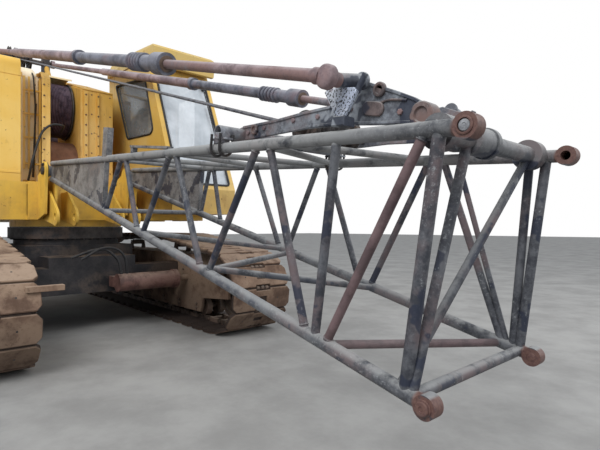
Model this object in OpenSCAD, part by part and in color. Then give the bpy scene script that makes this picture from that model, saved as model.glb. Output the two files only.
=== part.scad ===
// Crawler crane with a lattice boom base section, in millimetres.
// X runs forward, Y to the machine's left, Z up; the ground is at Z = 0.
// The modules work from the swing centre; sited() moves it all to the middle of the whole length.

/* [Crawlers] */
// Distance between the middles of the two tracks
track_gauge = 2540; // [2400:20:2700]
// Width of a track shoe
shoe_w = 760; // [600:20:800]
// Distance between idler and drive wheel centres
wheel_base = 4320; // [4000:20:4600]
// Height over the track
track_h = 1044; // [1000:4:1080]
// Number of shoes in one track
shoe_count = 46; // [43:1:51]
// Thickness of a shoe plate
shoe_t = 45; // [30:1:60]
// Radius of the idler and drive wheels at the rim
wheel_r = 392; // [360:1:400]
// Lower rollers in one crawler
roller_count = 8; // [6:1:9]

/* [Carbody] */
// Half length of the carbody's centre box
carbody_half = 620; // [560:10:700]
// Distance of each axle beam from the swing centre
beam_x = 900; // [800:10:1000]
// Radius of the slewing ring
ring_r = 680; // [600:10:740]
// Radius of the gauge cylinder's barrel
gauge_barrel_r = 102; // [80:1:110]

/* [Upperworks] */
// Underside of the revolving frame
frame_z = 1285; // [1285:5:1300]
// Top of the deck
deck_z = 1720; // [1700:5:1740]
// Rear face of the counterweight, behind the swing centre
tail_x = 3480; // [3300:10:3600]
// Rear end of the houses
house_rear = 3000; // [2900:10:3100]
// Half width of the upperworks
upper_half_w = 1500; // [1450:5:1520]
// Top of the machinery house
house_top = 3140; // [3000:10:3200]
// Front face of the right-hand house
house_front = 600; // [500:10:700]
// Inner side of the right-hand house, from the centre line
house_in_y = 660; // [640:5:700]
// Thickness of house and cab walls
wall_t = 40; // [30:2:50]

/* [Cab] */
// Inner side of the cab, from the centre line
cab_in_y = 660; // [650:5:700]
// Underside of the cab
cab_z = 1360; // [1340:5:1400]
// Rear wall of the cab
cab_rear = -330; // [-400:10:-300]
// Foot of the windscreen along X
screen_foot_x = 1720; // [1600:10:1800]
// Foot of the windscreen along Z
screen_foot_z = 1660; // [1600:10:1800]
// Head of the windscreen along X
screen_head_x = 1090; // [1000:10:1200]
// Head of the windscreen along Z
screen_head_z = 3120; // [3000:10:3200]

/* [Boom] */
// Boom foot pin along X
foot_x = 950; // [900:10:1000]
// Boom foot pin along Z
foot_z = 1826; // [1800:2:1850]
// Angle of the boom above the horizontal as parked
boom_angle = -9; // [-10:1:-8]
// Length from the foot pin to the tip lugs
boom_len = 4922; // [4800:2:5000]
// Half width between chord centres
boom_half_w = 446; // [430:2:450]
// Half depth between chord centres at the foot
foot_half_h = 74; // [60:2:80]
// Half depth between chord centres at the tip
tip_half_h = 466; // [440:2:480]
// Diameter of a chord tube
chord_d = 58; // [50:1:64]
// Diameter of a lacing tube
lace_d = 38; // [30:1:42]
// Radius of a tip lug
lug_r = 43; // [40:1:48]
// Radius of the hole in a tip lug
lug_hole_r = 21; // [18:0.5:24]

/* [Backstops and A-frame] */
// A-frame head pin along X
head_x = -3000; // [-3100:10:-2900]
// A-frame head pin along Z
head_z = 4280; // [4200:10:4400]
// Distance of each backstop from the centre line
strut_y = 552; // [550:1:560]
// Backstop pin on the boom, along the boom from the foot pin
strut_pin_s = 4366; // [4330:2:4400]
// Backstop pin on the boom, square to the boom's axis
strut_pin_h = 640; // [630:2:660]

/* [Hidden] */
$fn = 32;

// Small lengths shared by several pieces
gap = 5;
cut = 20;
pin_play = 0.4;
eps = 0.01;

// Colours
yellow = [0.86, 0.62, 0.14];
dark_steel = [0.22, 0.21, 0.21];
boom_grey = [0.36, 0.40, 0.42];
rust = [0.45, 0.25, 0.18];
dusty = [0.55, 0.42, 0.32];
black = [0.09, 0.09, 0.10];
pale_glass = [0.72, 0.80, 0.82, 0.4];

// The whole length runs from the counterweight's rear face to the upper tip lugs
nose_x = foot_x + boom_len * cos(boom_angle) - tip_half_h * sin(boom_angle) + lug_r;
mid_x = (nose_x - tail_x) / 2;
module sited() translate([-mid_x, 0, 0]) children();

// Moves a piece drawn along the boom's axis from the foot pin to its place
module in_boom() translate([foot_x, 0, foot_z]) rotate([0, -boom_angle, 0]) children();

// Chord centre above or below the axis at a distance along the boom
function chord_h(s) = foot_half_h + (tip_half_h - foot_half_h) * s / boom_len;
function boom_point(s, h) = [foot_x + s * cos(boom_angle) - h * sin(boom_angle),
    foot_z + s * sin(boom_angle) + h * cos(boom_angle)];

// A round bar between two points
module bar(a, b, d) {
    v = b - a;
    len = norm(v);
    translate(a) rotate([0, acos(v[2] / len), atan2(v[1], v[0])]) cylinder(h = len, d = d);
}

// A tube between two points
module tube(a, b, d, bore) {
    v = b - a;
    len = norm(v);
    translate(a) rotate([0, acos(v[2] / len), atan2(v[1], v[0])]) difference() {
        cylinder(h = len, d = d);
        translate([0, 0, -1]) cylinder(h = len + 2, d = bore);
    }
}

// A disc whose axis runs across the machine, with its middle at y
module disc(x, y, z, r, w) translate([x, y + w / 2, z]) rotate([90, 0, 0]) cylinder(h = w, r = r);

// A side outline in X and Z, drawn from y0 to y1
module side_plate(y0, y1) translate([0, y1, 0]) rotate([90, 0, 0]) linear_extrude(y1 - y0) children();

module block(x0, x1, y0, y1, z0, z1) translate([x0, y0, z0]) cube([x1 - x0, y1 - y0, z1 - z0]);

// Crawlers: the chain runs round the idler, two carrier rollers and the drive wheel.
// Each stop is [x, z, what its radius lacks against the drive wheel's]
wheel_z = track_h / 2;
link_r = track_h / 2 - 28;
quarter = wheel_base / 2;
idler_less = 60;
idler_z = wheel_z - idler_less;
carrier_x = 760;
carrier_r = 38;
carrier_z = 962;
carrier_less = 372;
stops = [[quarter, idler_z, idler_less], [carrier_x, carrier_z, carrier_less], [-carrier_x, carrier_z, carrier_less], [-quarter, wheel_z, 0]];
function next_stop(i) = stops[(i + 1) % 4];
// Angle of the outward side on the straight after a stop, and that straight's length
function leave_angle(i) = let (a = stops[i], b = next_stop(i), d = norm([b[0] - a[0], b[1] - a[1]]))
    (atan2(b[1] - a[1], b[0] - a[0]) + (b[1] < a[1] ? 360 : 0)) - acos((b[2] - a[2]) / d);
function straight(i) = let (a = stops[i], b = next_stop(i)) sqrt(pow(b[0] - a[0], 2) + pow(b[1] - a[1], 2) - pow(b[2] - a[2], 2));
function turn_before(i) = i == 0 ? leave_angle(0) + 360 - leave_angle(3) : leave_angle(i) - leave_angle(i - 1);
// Distance along the chain to where each straight starts, round stop 0 first
function arc(i) = (link_r - stops[i][2]) * turn_before(i) * PI / 180;
function start(i) = i == 0 ? arc(0) : start(i - 1) + straight(i - 1) + arc(i);
chain_len = start(3) + straight(3);
pitch = chain_len / shoe_count;
// Place on the path at a distance along it: [x, z, angle of the outward side, lack of radius]
function on_straight(i, s) = let (a = stops[i], b = next_stop(i), k = s / straight(i))
    [a[0] + (b[0] - a[0]) * k, a[1] + (b[1] - a[1]) * k, leave_angle(i), a[2] + (b[2] - a[2]) * k];
function on_arc(i, s) = [stops[i][0], stops[i][1], leave_angle(i) - s / (link_r - stops[i][2]) * 180 / PI, stops[i][2]];
function path_from(i, s) = i == 3 || s < start(i) + straight(i) ?
    (s < start(i) ? on_arc(i, start(i) - s) : on_straight(i, s - start(i))) : path_from(i + 1, s);
function path_at(s) = path_from(0, s);
function rim_point(s, r) = let (p = path_at(s)) [p[0] + (r - p[3]) * cos(p[2]), p[1] + (r - p[3]) * sin(p[2])];
function wrap(s) = s - chain_len * floor(s / chain_len);

link_in_r = 420;
link_w = 250;
shoe_len = 238;
shoe_corner = 42;
// Chain pins lie inside the shoes; a shoe sits square on the line between its two pins
pin_r = 452;
shoe_low = track_h / 2 - pin_r - shoe_t;

module shoe_plan() {
    a = shoe_len / 2;
    b = shoe_w / 2;
    c = shoe_corner;
    polygon([[-a, -b + c], [-a + c, -b], [a - c, -b], [a, -b + c],
        [a, b - c], [a - c, b], [-a + c, b], [-a, b - c]]);
}

module shoe_row(y) for (i = [0 : shoe_count - 1]) {
    a = rim_point(i * pitch, pin_r);
    b = rim_point(wrap((i + 1) * pitch), pin_r);
    turn = atan2(b[1] - a[1], b[0] - a[0]);
    translate([(a[0] + b[0]) / 2, y, (a[1] + b[1]) / 2]) rotate([0, 180 - turn, 0])
        translate([0, 0, shoe_low]) linear_extrude(shoe_t) shoe_plan();
}
module track(side) {
    y = side * track_gauge / 2;
    outer = [for (i = [0 : shoe_count - 1]) rim_point(i * pitch, link_r)];
    inner = [for (i = [0 : shoe_count - 1]) rim_point(i * pitch, link_in_r)];
    color(dusty) {
        side_plate(y - link_w / 2, y + link_w / 2) difference() {
            polygon(outer);
            polygon(inner);
        }
        shoe_row(y);
        // the flat bar caught on the front of the right-hand chain
        if (side < 0) difference() {
            block(2500, 2580, y + shoe_w / 2 - 120, y + shoe_w / 2 + 165, 688, 738);
            shoe_row(y);
        }
    }
}

// Crawler side frame between the runs of the chain
frame_in_w = 440;
frame_low = 320;
frame_top = 860;
beam_w = 300;
beam_low = 440;
beam_h = 300;
beam_fit = 8;
wheel_w = 150;
plate_w = 30;
roller_r = 104;
roller_span = 3100;
skirt_low = 165;

module crawler_frame(side) {
    y0 = track_gauge / 2 - frame_in_w / 2;
    y1 = track_gauge / 2 + frame_in_w / 2;
    color(dusty) rotate([0, 0, side < 0 ? 180 : 0]) difference() {
        union() {
            side_plate(y0, y1) polygon([[-1640, frame_low], [1640, frame_low], [1700, 420],
                [1700, 700], [1500, frame_top], [-1500, frame_top], [-1700, 700], [-1700, 420]]);
            for (y = [y0, y1 - plate_w])
                side_plate(y, y + plate_w) polygon([[-2250, 385], [-1700, 340], [-1640, skirt_low],
                    [1640, skirt_low], [1700, 340], [2250, 385], [2250, 604], [1700, 720],
                    [-1700, 720], [-2250, 604]]);
            bar([gauge_x, gauge_rod_y, gauge_z], [gauge_x, y0 + 1, gauge_z], gauge_rod_d);
        }
        for (x = [-beam_x, beam_x])
            block(x - beam_w / 2 - beam_fit, x + beam_w / 2 + beam_fit, y0 - cut, y1 + cut,
                beam_low - beam_fit, beam_low + beam_h + beam_fit);
    }
}

module track_rollers(side) {
    color(dark_steel) mirror([0, side < 0 ? 1 : 0, 0]) {
        for (x = [-carrier_x, carrier_x]) {
            disc(x, track_gauge / 2, carrier_z, carrier_r, 150);
            disc(x, track_gauge / 2, carrier_z, 18, 210);
            for (y = [-95, 95]) side_plate(track_gauge / 2 + y - 8, track_gauge / 2 + y + 8)
                polygon([[x - 70, frame_top + eps], [x + 70, frame_top + eps], [x + 26, carrier_z + 26], [x - 26, carrier_z + 26]]);
        }
        for (i = [0 : roller_count - 1]) {
            x = -roller_span / 2 + roller_span * i / (roller_count - 1);
            z = wheel_z - link_in_r + roller_r + 0.5;
            disc(x, track_gauge / 2, z, 34, frame_in_w - 2 * plate_w - 2 * eps);
            for (y = [-90, 90]) disc(x, track_gauge / 2 + y, z, roller_r, 70);
        }
    }
}

module idler(side) {
    y = side * track_gauge / 2;
    rim = wheel_r - idler_less;
    color(dark_steel) difference() {
        union() {
            disc(quarter, y, idler_z, rim, wheel_w);
            disc(quarter, y, idler_z, 70, frame_in_w - 2 * plate_w - 2 * eps);
        }
        for (s = [-1, 1]) difference() {
            disc(quarter, y + s * wheel_w / 2, idler_z, rim - 50, 70);
            disc(quarter, y + s * wheel_w / 2, idler_z, 120, 80);
        }
    }
}

module drive_wheel(side) {
    y = side * track_gauge / 2;
    motor_y = track_gauge / 2 - frame_in_w / 2 - eps;
    color(dark_steel) {
        disc(-quarter, y, wheel_z, wheel_r - 30, wheel_w);
        disc(-quarter, y, wheel_z, 150, frame_in_w - 2 * plate_w - 2 * eps);
        for (a = [0 : 30 : 330])
            translate([-quarter, y, wheel_z]) rotate([0, a, 0])
                translate([0, -wheel_w / 2, wheel_r - 60]) cube([52, wheel_w, 62]);
        disc(-quarter, side * (motor_y - 45), wheel_z, 150, 90);
        disc(-quarter, side * (motor_y - 130), wheel_z, 105, 80);
        disc(-quarter, side * (track_gauge / 2 + frame_in_w / 2 + eps + 20), wheel_z, 160, 40);
    }
}

// Carbody: a centre box on two axle beams that the crawler frames slide on
module carbody() {
    color(black) {
        block(-carbody_half, carbody_half, -carbody_half, carbody_half, 420, 980);
        block(-beam_x - beam_w / 2, beam_x + beam_w / 2, -480, 480, 460, 860);
        for (x = [-beam_x, beam_x])
            block(x - beam_w / 2, x + beam_w / 2, -1480, 1480, beam_low, beam_low + beam_h);
        translate([0, 0, 420]) cylinder(h = ring_low - 420, r = ring_r - 60);
    }
}

ring_low = 1060;
ring_top = 1200;
module slew_ring() {
    color(dark_steel) difference() {
        translate([0, 0, ring_low]) cylinder(h = ring_top - ring_low, r = ring_r);
        translate([0, 0, ring_low + 60]) cylinder(h = ring_top - ring_low, r = ring_r - 160);
    }
}

// Gauge cylinders: barrel on the carbody, rod pushing on the crawler frame
gauge_x = 1300;
gauge_z = 560;
gauge_y0 = 166;
gauge_y1 = 900;
gauge_rod_y = 400;
gauge_rod_d = 76;
module gauge_cylinder(side) {
    x = side * gauge_x;
    color(rust) {
        difference() {
            union() {
                bar([x, side * gauge_y0, gauge_z], [x, side * gauge_y1, gauge_z], 2 * gauge_barrel_r);
                bar([x, side * (gauge_y1 - 56), gauge_z], [x, side * gauge_y1, gauge_z], 2 * gauge_barrel_r + 24);
            }
            bar([x, side * (gauge_rod_y - 60), gauge_z], [x, side * (gauge_y1 + 1), gauge_z], gauge_rod_d + 12);
        }
        block(min(x, side * (beam_x + beam_w / 2)), max(x, side * (beam_x + beam_w / 2)),
            side > 0 ? gauge_y0 : -gauge_y0 - 90, side > 0 ? gauge_y0 + 90 : -gauge_y0, 500, 620);
    }
}

// Revolving frame and decks
module revolving_frame() {
    color(yellow) {
        translate([0, 0, ring_top + gap]) cylinder(h = frame_z - ring_top - gap, r = ring_r - 20);
        block(-3050, 700, -600, 600, frame_z, frame_z + 50);
        for (y = [-340, 280]) block(-3050, 700, y, y + 60, frame_z + 50, deck_z);
        block(-3050, 640, -600, 600, deck_z - 30, deck_z);
        block(-3050, -2990, -600, 600, frame_z + 50, deck_z);
        block(640, 700, -600, 600, frame_z + 50, deck_z);
    }
}

// Ears with the boom foot pins, and the four lower clevis plates
clevis_at = [1190, 1310];
clevis_hole_r = 42;
module foot_brackets() {
    color(yellow) {
        for (s = [-1, 1]) {
            for (y = [397, 497])
                side_plate(s * y - 13, s * y + 13) union() {
                    polygon([[700, frame_z], [1000, frame_z + 60], [1045, foot_z], [860, foot_z + 20], [700, foot_z - 40]]);
                    translate([foot_x, foot_z]) circle(r = 96);
                }
            disc(foot_x, s * 447, foot_z, 35 - pin_play, 126);
            for (y = [250, 442]) difference() {
                side_plate(s * y - 12.5, s * y + 12.5) union() {
                    polygon([[700, frame_z], [clevis_at[0] - 40, clevis_at[1] - 86], [clevis_at[0] + 60, clevis_at[1] + 74],
                        [940, 1600], [700, 1600]]);
                    translate(clevis_at) circle(r = 95);
                }
                disc(clevis_at[0], s * y, clevis_at[1], clevis_hole_r, 60);
            }
        }
    }
}

deck_in_y = 600 + eps;
module side_deck_right() {
    color(yellow) {
        block(-house_rear, house_front, -upper_half_w, -deck_in_y, deck_z - 60, deck_z);
        block(-house_rear, house_front, -upper_half_w, -upper_half_w + 30, frame_z + 100, deck_z - 60);
        block(house_front - 30, house_front, -upper_half_w, -deck_in_y, frame_z, deck_z - 60);
    }
}

module side_deck_left() {
    color(yellow) {
        block(-house_rear, cab_rear - 20, deck_in_y, upper_half_w - 15, deck_z - 60, deck_z);
        for (x = [-250, 900]) block(x, x + 120, deck_in_y, upper_half_w - 60, frame_z, cab_z - eps);
        block(-house_rear, cab_rear - 20, upper_half_w - 45, upper_half_w - 15, frame_z + 100, deck_z - 60);
    }
}

// Machinery house: two hollow sides with an open drum bay between them
door_w = 1150;
door_low = 1900;
door_high = 2900;
door_x = [-2750, -1450];
hinge_y = -upper_half_w - 18;
hinge_r = 12;
hinge_z = [2080, 2720];
module house_right() {
    color(yellow) {
        difference() {
            side_plate(-upper_half_w, -house_in_y) union() {
                block2(-house_rear, house_front - 90, deck_z, house_top);
                block2(-house_rear, house_front, deck_z, house_top - 90);
                translate([house_front - 90, house_top - 90]) circle(r = 90);
            }
            block(-house_rear + wall_t, house_front - wall_t, -upper_half_w + wall_t, -house_in_y - wall_t,
                deck_z - cut, house_top - wall_t);
            for (x = door_x)
                block(x, x + door_w, -upper_half_w - cut, -upper_half_w + wall_t + cut, door_low, door_high);
            // grille openings: the side behind the front panel, the rear wall and the roof
            block(-150, 380, -upper_half_w - cut, -upper_half_w + wall_t + cut, 2150, 2850);
            block(-house_rear - cut, -house_rear + wall_t + cut, -1380, -780, 2550, 3020);
            block(-2200, -1500, -1320, -840, house_top - wall_t - cut, house_top + cut);
            // seam between the front panel and the roof cover
            block(house_front - 6, house_front + cut, -upper_half_w - cut, -house_in_y + cut, 2916, 2924);
        }
        for (i = [0 : 9]) block(-150, 380, -upper_half_w + 6, -upper_half_w + 30, 2170 + 70 * i, 2184 + 70 * i);
        for (i = [0 : 6]) block(-house_rear + 8, -house_rear + 30, -1380, -780, 2575 + 65 * i, 2587 + 65 * i);
        for (i = [0 : 9]) block(-2170 + 70 * i, -2158 + 70 * i, -1320, -840, house_top - 30, house_top - 8);
        // the fixed knuckle of each door hinge
        for (x = [[door_x[0] + gap, -1], [door_x[1] + door_w - gap, 1]]) for (z = hinge_z) {
            translate([x[0], hinge_y, z - 62]) cylinder(h = 60, r = hinge_r);
            block(min(x[0], x[0] + x[1] * 90), max(x[0], x[0] + x[1] * 90), hinge_y + 4, -upper_half_w, z - 62, z - 2);
        }
        // exhaust
        difference() {
            translate([-1250, -1080, house_top]) cylinder(h = 520, d = 114);
            translate([-1250, -1080, house_top + 60]) cylinder(h = 520, d = 100);
        }
    }
}
module block2(x0, x1, z0, z1) translate([x0, z0]) square([x1 - x0, z1 - z0]);

// A door with its hinge knuckles at its rear edge (-1) or front edge (1)
module house_door(x, edge) {
    hx = edge > 0 ? x + door_w - gap : x + gap;
    color(yellow) {
        difference() {
            block(x + gap, x + door_w - gap, -upper_half_w, -upper_half_w + wall_t, door_low + gap, door_high - gap);
            block(x + 150, x + door_w - 150, -upper_half_w - cut, -upper_half_w + 8, door_low + 120, door_high - 120);
        }
        for (z = hinge_z) {
            translate([hx, hinge_y, z]) cylinder(h = 60, r = hinge_r);
            block(min(hx, hx - edge * 130), max(hx, hx - edge * 130), hinge_y + 4, -upper_half_w, z, z + 60);
        }
        block(hx - edge * (door_w - 130) - 20, hx - edge * (door_w - 130) + 20, -upper_half_w - 26, -upper_half_w, 2330, 2470);
    }
}

left_in_y = 500;
left_front = -350;
module house_left() {
    color(yellow) {
        difference() {
            block(-house_rear, left_front, left_in_y, upper_half_w - 15, deck_z, house_top - 20);
            block(-house_rear + wall_t, left_front - wall_t, left_in_y + wall_t, upper_half_w - 15 - wall_t,
                deck_z - cut, house_top - 20 - wall_t);
            block(-house_rear - cut, -house_rear + wall_t + cut, 700, 1300, 2550, 3000);
            for (x = [-2500, -1500]) block(x, x + 800, upper_half_w - 23, upper_half_w + cut, 1900, 2900);
        }
        for (i = [0 : 6]) block(-house_rear + 8, -house_rear + 30, 700, 1300, 2575 + 62 * i, 2587 + 62 * i);
        // front wall beside the drum, with its ribs and rungs
        block(left_front, left_front + 30, 376, cab_in_y - gap, deck_z, 3110);
        for (y = [470, 600]) block(left_front + 30, left_front + 62, y - 12, y + 12, deck_z, 3090);
        for (z = [2000 : 260 : 2900]) bar([left_front + 46, 386, z], [left_front + 46, 458, z], 18);
    }
}

module engine() color(dark_steel) block(-2500, -900, -1350, -800, deck_z, 2650);

weight_top = 2500;
module counterweight() {
    color(yellow) side_plate(-upper_half_w, upper_half_w)
        polygon([[-tail_x, 1500], [-3050, frame_z + 40], [-3050, weight_top], [-tail_x + 60, weight_top], [-tail_x, weight_top - 100]]);
}

// Cab
cab_out_y = 1500;
roof_z = 3380;
glass_t = 8;
function screen_x(z) = screen_foot_x + (screen_head_x - screen_foot_x) * (z - screen_foot_z) / (screen_head_z - screen_foot_z);
module cab_side(grow) {
    polygon([[cab_rear + grow, cab_z + grow], [screen_foot_x - 60 - grow, cab_z + grow],
        [screen_foot_x - grow * 1.1, screen_foot_z], [screen_x(3300) - grow * 1.1, 3300],
        [screen_x(3300) - grow * 1.1, roof_z - grow], [cab_rear + grow, roof_z + 40 - grow]]);
}
// Side window towards the boom, as seen in the wall's plane
module boom_window() polygon([[-60, 3225], [930, 3105], [1160, 2430], [1135, 2385], [1085, 2365], [395, 2400], [350, 2425]]);
// Window in the outer wall, in front of the door
module front_window() polygon([[840, 3060], [930, 3060], [1200, 2420], [1200, 2330], [840, 2330]]);
module screen_outline(back, front, low, high) {
    polygon([[screen_x(low) - back, low], [screen_x(low) + front, low], [screen_x(high) + front, high], [screen_x(high) - back, high]]);
}
module cab_shell() {
    color(yellow) difference() {
        side_plate(cab_in_y, cab_out_y) cab_side(0);
        side_plate(cab_in_y + wall_t, cab_out_y - wall_t) cab_side(wall_t);
        side_plate(cab_in_y + 70, cab_out_y - 70) screen_outline(100, 100, 1720, 3090);
        side_plate(cab_in_y - cut, cab_in_y + wall_t + cut) boom_window();
        side_plate(cab_out_y - wall_t - cut, cab_out_y + cut) front_window();
        block(60, 760, cab_out_y - wall_t - cut, cab_out_y + cut, cab_z + 90, 3200);
        // rear window
        block(cab_rear - cut, cab_rear + wall_t + cut, cab_in_y + 150, cab_out_y - 150, 2450, 3050);
    }
}
// Roof cover with its visor over the windscreen
module cab_roof() {
    color(yellow) difference() {
        intersection() {
            side_plate(cab_in_y - 15, cab_out_y + 15) polygon([[cab_rear - 40, roof_z + 20], [1000, roof_z - 40],
                [1120, 3230], [1180, 3230], [1215, 3435], [1180, 3470], [400, 3575], [cab_rear - 40, 3600]]);
            translate([1500, 0, 0]) rotate([0, -90, 0]) linear_extrude(2100) polygon([[3150, cab_in_y - 15],
                [3455, cab_in_y - 15], [3620, cab_in_y + 50], [3620, cab_out_y - 140], [3420, cab_out_y + 15], [3150, cab_out_y + 15]]);
        }
        side_plate(cab_in_y - 0.05, cab_out_y + 0.05) cab_side(-0.05);
    }
}
module cab_glass() {
    color(pale_glass) {
        side_plate(cab_in_y + 70, cab_out_y - 70) screen_outline(26, -18, 1720, 3090);
        side_plate(cab_in_y + 16, cab_in_y + 16 + glass_t) boom_window();
        side_plate(cab_out_y - 24, cab_out_y - 24 + glass_t) front_window();
        block(cab_rear + 16, cab_rear + 16 + glass_t, cab_in_y + 150, cab_out_y - 150, 2450, 3050);
    }
}
module cab_door() {
    color(yellow) difference() {
        block(40, 780, cab_out_y + gap, cab_out_y + gap + 30, cab_z + 70, 3190);
        block(120, 700, cab_out_y - cut, cab_out_y + 60, 2250, 3100);
        block(600, 680, cab_out_y + gap + 22, cab_out_y + 60, 2060, 2100);
    }
}
module cab_step() color(dark_steel) {
    for (x = [120, 600]) block(x, x + 30, cab_out_y - 100, cab_out_y + 30, cab_z - 60, cab_z - eps);
    block(120, 630, cab_out_y - 60, cab_out_y + 90, cab_z - 72, cab_z - 60);
}
module operator_seat() {
    color(black) {
        block(-20, 460, 920, 1380, 1780, 1890);
        block(-120, 0, 920, 1380, 1860, 2480);
        block(100, 340, 1040, 1260, cab_z + wall_t, 1780);
    }
}
module control_stand() {
    color(dark_steel) {
        block(700, 960, 860, 1180, cab_z + wall_t, 2150);
        for (y = [900, 980, 1060, 1140]) bar([780, y, 2150 - 1], [760, y, 2420], 22);
    }
}

// Hoist drums in the bay
drum_front = [-130, 2745];
drum_front_y = -160;
drum_rear = [-1250, 2450];
wall_x = 405;
part_y = 30;
module drum_stand() {
    color(yellow) {
        for (y = [-375, 350]) difference() {
            side_plate(y, y + 25) union() {
                if (y < 0) polygon([[-600, deck_z], [560, deck_z], [560, 2960], [470, 3050], [250, 3060], [100, 2950], [-560, 2785]]);
                else polygon([[-600, deck_z], [wall_x, deck_z], [wall_x, 2900], [-560, 2785]]);
                polygon([[-1650, deck_z], [-850, deck_z], [-950, 2500], [-1550, 2500]]);
                translate(drum_front) circle(r = 140);
            }
            disc(drum_front[0], y + 12.5, drum_front[1], 60, 60);
            disc(drum_rear[0], y + 12.5, drum_rear[1], 60, 60);
            if (y < 0) for (z = [2000, 2300]) disc(400, y + 12.5, z, 50, 60);
        }
        // partition beside the rope drum, the front wall with its ribs, and the sloping cover behind it
        difference() {
            side_plate(part_y, part_y + 22)
                polygon([[-600, deck_z], [wall_x, deck_z], [wall_x, 2950], [-200, 3155], [-600, 3285]]);
            disc(drum_front[0], part_y, drum_front[1], 60, 60);
        }
        block(wall_x, wall_x + 28, part_y, 430, deck_z, 2950);
        for (y = [[66, 110], [228, 250]]) block(wall_x + 28, wall_x + 56, y[0], y[1], deck_z, 2935);
        side_plate(part_y + 22, 430) polygon([[wall_x, 2950], [wall_x + 40, 2950], [wall_x + 40, 2962], [-600, 3298], [-600, 3286]]);
    }
}

// Drive case beside the front drum with its step rungs, and the hood over the drum
case_front = 270;
case_top = 3150;
hood_r = 444;
module drum_guards() {
    color(yellow) {
        intersection() {
            side_plate(-620, -400) difference() {
                union() {
                    block2(-520, case_front - 100, deck_z, case_top);
                    block2(-520, case_front, deck_z, case_top - 100);
                    translate([case_front - 100, case_top - 100]) circle(r = 100);
                }
                translate(drum_front) circle(r = 64);
            }
            translate([1500, 0, 0]) rotate([0, -90, 0]) linear_extrude(2300)
                polygon([[deck_z, -620], [case_top, -620], [case_top, -480], [3010, -400], [deck_z, -400]]);
        }
        for (y = [-590, -430]) block(case_front, case_front + 30, y - 8, y + 8, deck_z, 3000);
        for (z = [1990, 2270, 2550, 2830]) bar([case_front + 15, -590, z], [case_front + 15, -430, z], 20);
        side_plate(-350 + eps, part_y - eps) difference() {
            translate(drum_front) circle(r = hood_r);
            translate(drum_front) circle(r = hood_r - 14);
            block2(drum_front[0] + 190, drum_front[0] + 500, 1700, 3500);
            block2(-900, 700, 1700, drum_front[1]);
        }
    }
}
// Half-round cover on the deck under the front drum
pan_at = [0, 1930];
pan_r = 380;
module drum_pan() color(rust) side_plate(-350 + eps, part_y - eps) difference() {
    translate(pan_at) circle(r = pan_r);
    translate(pan_at) circle(r = pan_r - 14);
    block2(-900, 900, 1300, deck_z + eps);
}
module hoist_drum(at, y, flange, core, w, brake = 0) {
    color(dark_steel) {
        disc(at[0], 0, at[1], 60 - pin_play, 760);
        disc(at[0], y, at[1], core, w);
        for (s = [-1, 1]) disc(at[0], y + s * w / 2, at[1], flange, 24);
        if (brake > 0) disc(at[0], 200, at[1], brake, 200);
    }
}

// A-frame
leg_y = 430;
leg_d = 90;
sheave_z = head_z - 20;
module head_blocks() {
    for (s = [-1, 1]) block(head_x - 110, head_x + 110, s * leg_y - 50, s * leg_y + 50, head_z - 200, head_z + 90);
}
module a_frame_legs() {
    color(yellow) for (s = [-1, 1]) difference() {
        union() {
            bar([-940, s * leg_y, deck_z - 80], [head_x + 60, s * leg_y, head_z - 90], leg_d);
            bar([-3210, s * leg_y, weight_top - 80], [head_x - 20, s * leg_y, head_z - 90], leg_d);
            block(-1130, -900, s * leg_y - 52, s * leg_y + 52, deck_z, deck_z + 20);
            block(-3300, -3110, s * leg_y - 60, s * leg_y + 60, weight_top, weight_top + 20);
        }
        block(-1200, -700, s * leg_y - 100, s * leg_y + 100, deck_z - 200, deck_z);
        block(-3400, -3050, s * leg_y - 100, s * leg_y + 100, weight_top - 200, weight_top);
        head_blocks();
    }
}
module a_frame_head() {
    color(yellow) {
        head_blocks();
        for (s = [-1, 1]) disc(head_x, s * 545, head_z, 40, 150);
    }
}
module head_sheaves() {
    color(dark_steel) {
        for (y = [-160, -60, 60, 160]) disc(head_x, y, sheave_z, 180, 36);
        disc(head_x, 0, sheave_z, 45, 2 * (leg_y - 50) - 2 * eps);
    }
}

// Bridle places on the boom: along it and square to it
bridle_pipe = [3496, 429];
bridle_sheave = [3850, 500];

// Boom hoist ropes, opened half way: each half swings on its own end
rope_d = 18;
rope_y = [-160, -60, 60, 160];
rope_len = 4180;
rope_off = 34;
rope_head = [head_x, sheave_z];
rope_boom = boom_point(bridle_sheave[0], bridle_sheave[1]);
rope_dir = (rope_boom - rope_head) / norm(rope_boom - rope_head);
module hoist_ropes_rear() {
    color(black) for (y = rope_y) bar([rope_head[0] + rope_dir[0] * 200, y, rope_head[1] + rope_dir[1] * 200],
        [rope_head[0] + rope_dir[0] * rope_len, y, rope_head[1] + rope_dir[1] * rope_len], rope_d);
}
module hoist_ropes_front() {
    color(black) for (y = rope_y) bar([rope_boom[0] - rope_dir[0] * 200, y + rope_off, rope_boom[1] - rope_dir[1] * 200],
        [rope_boom[0] - rope_dir[0] * rope_len, y + rope_off, rope_boom[1] - rope_dir[1] * rope_len], rope_d);
}

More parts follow.
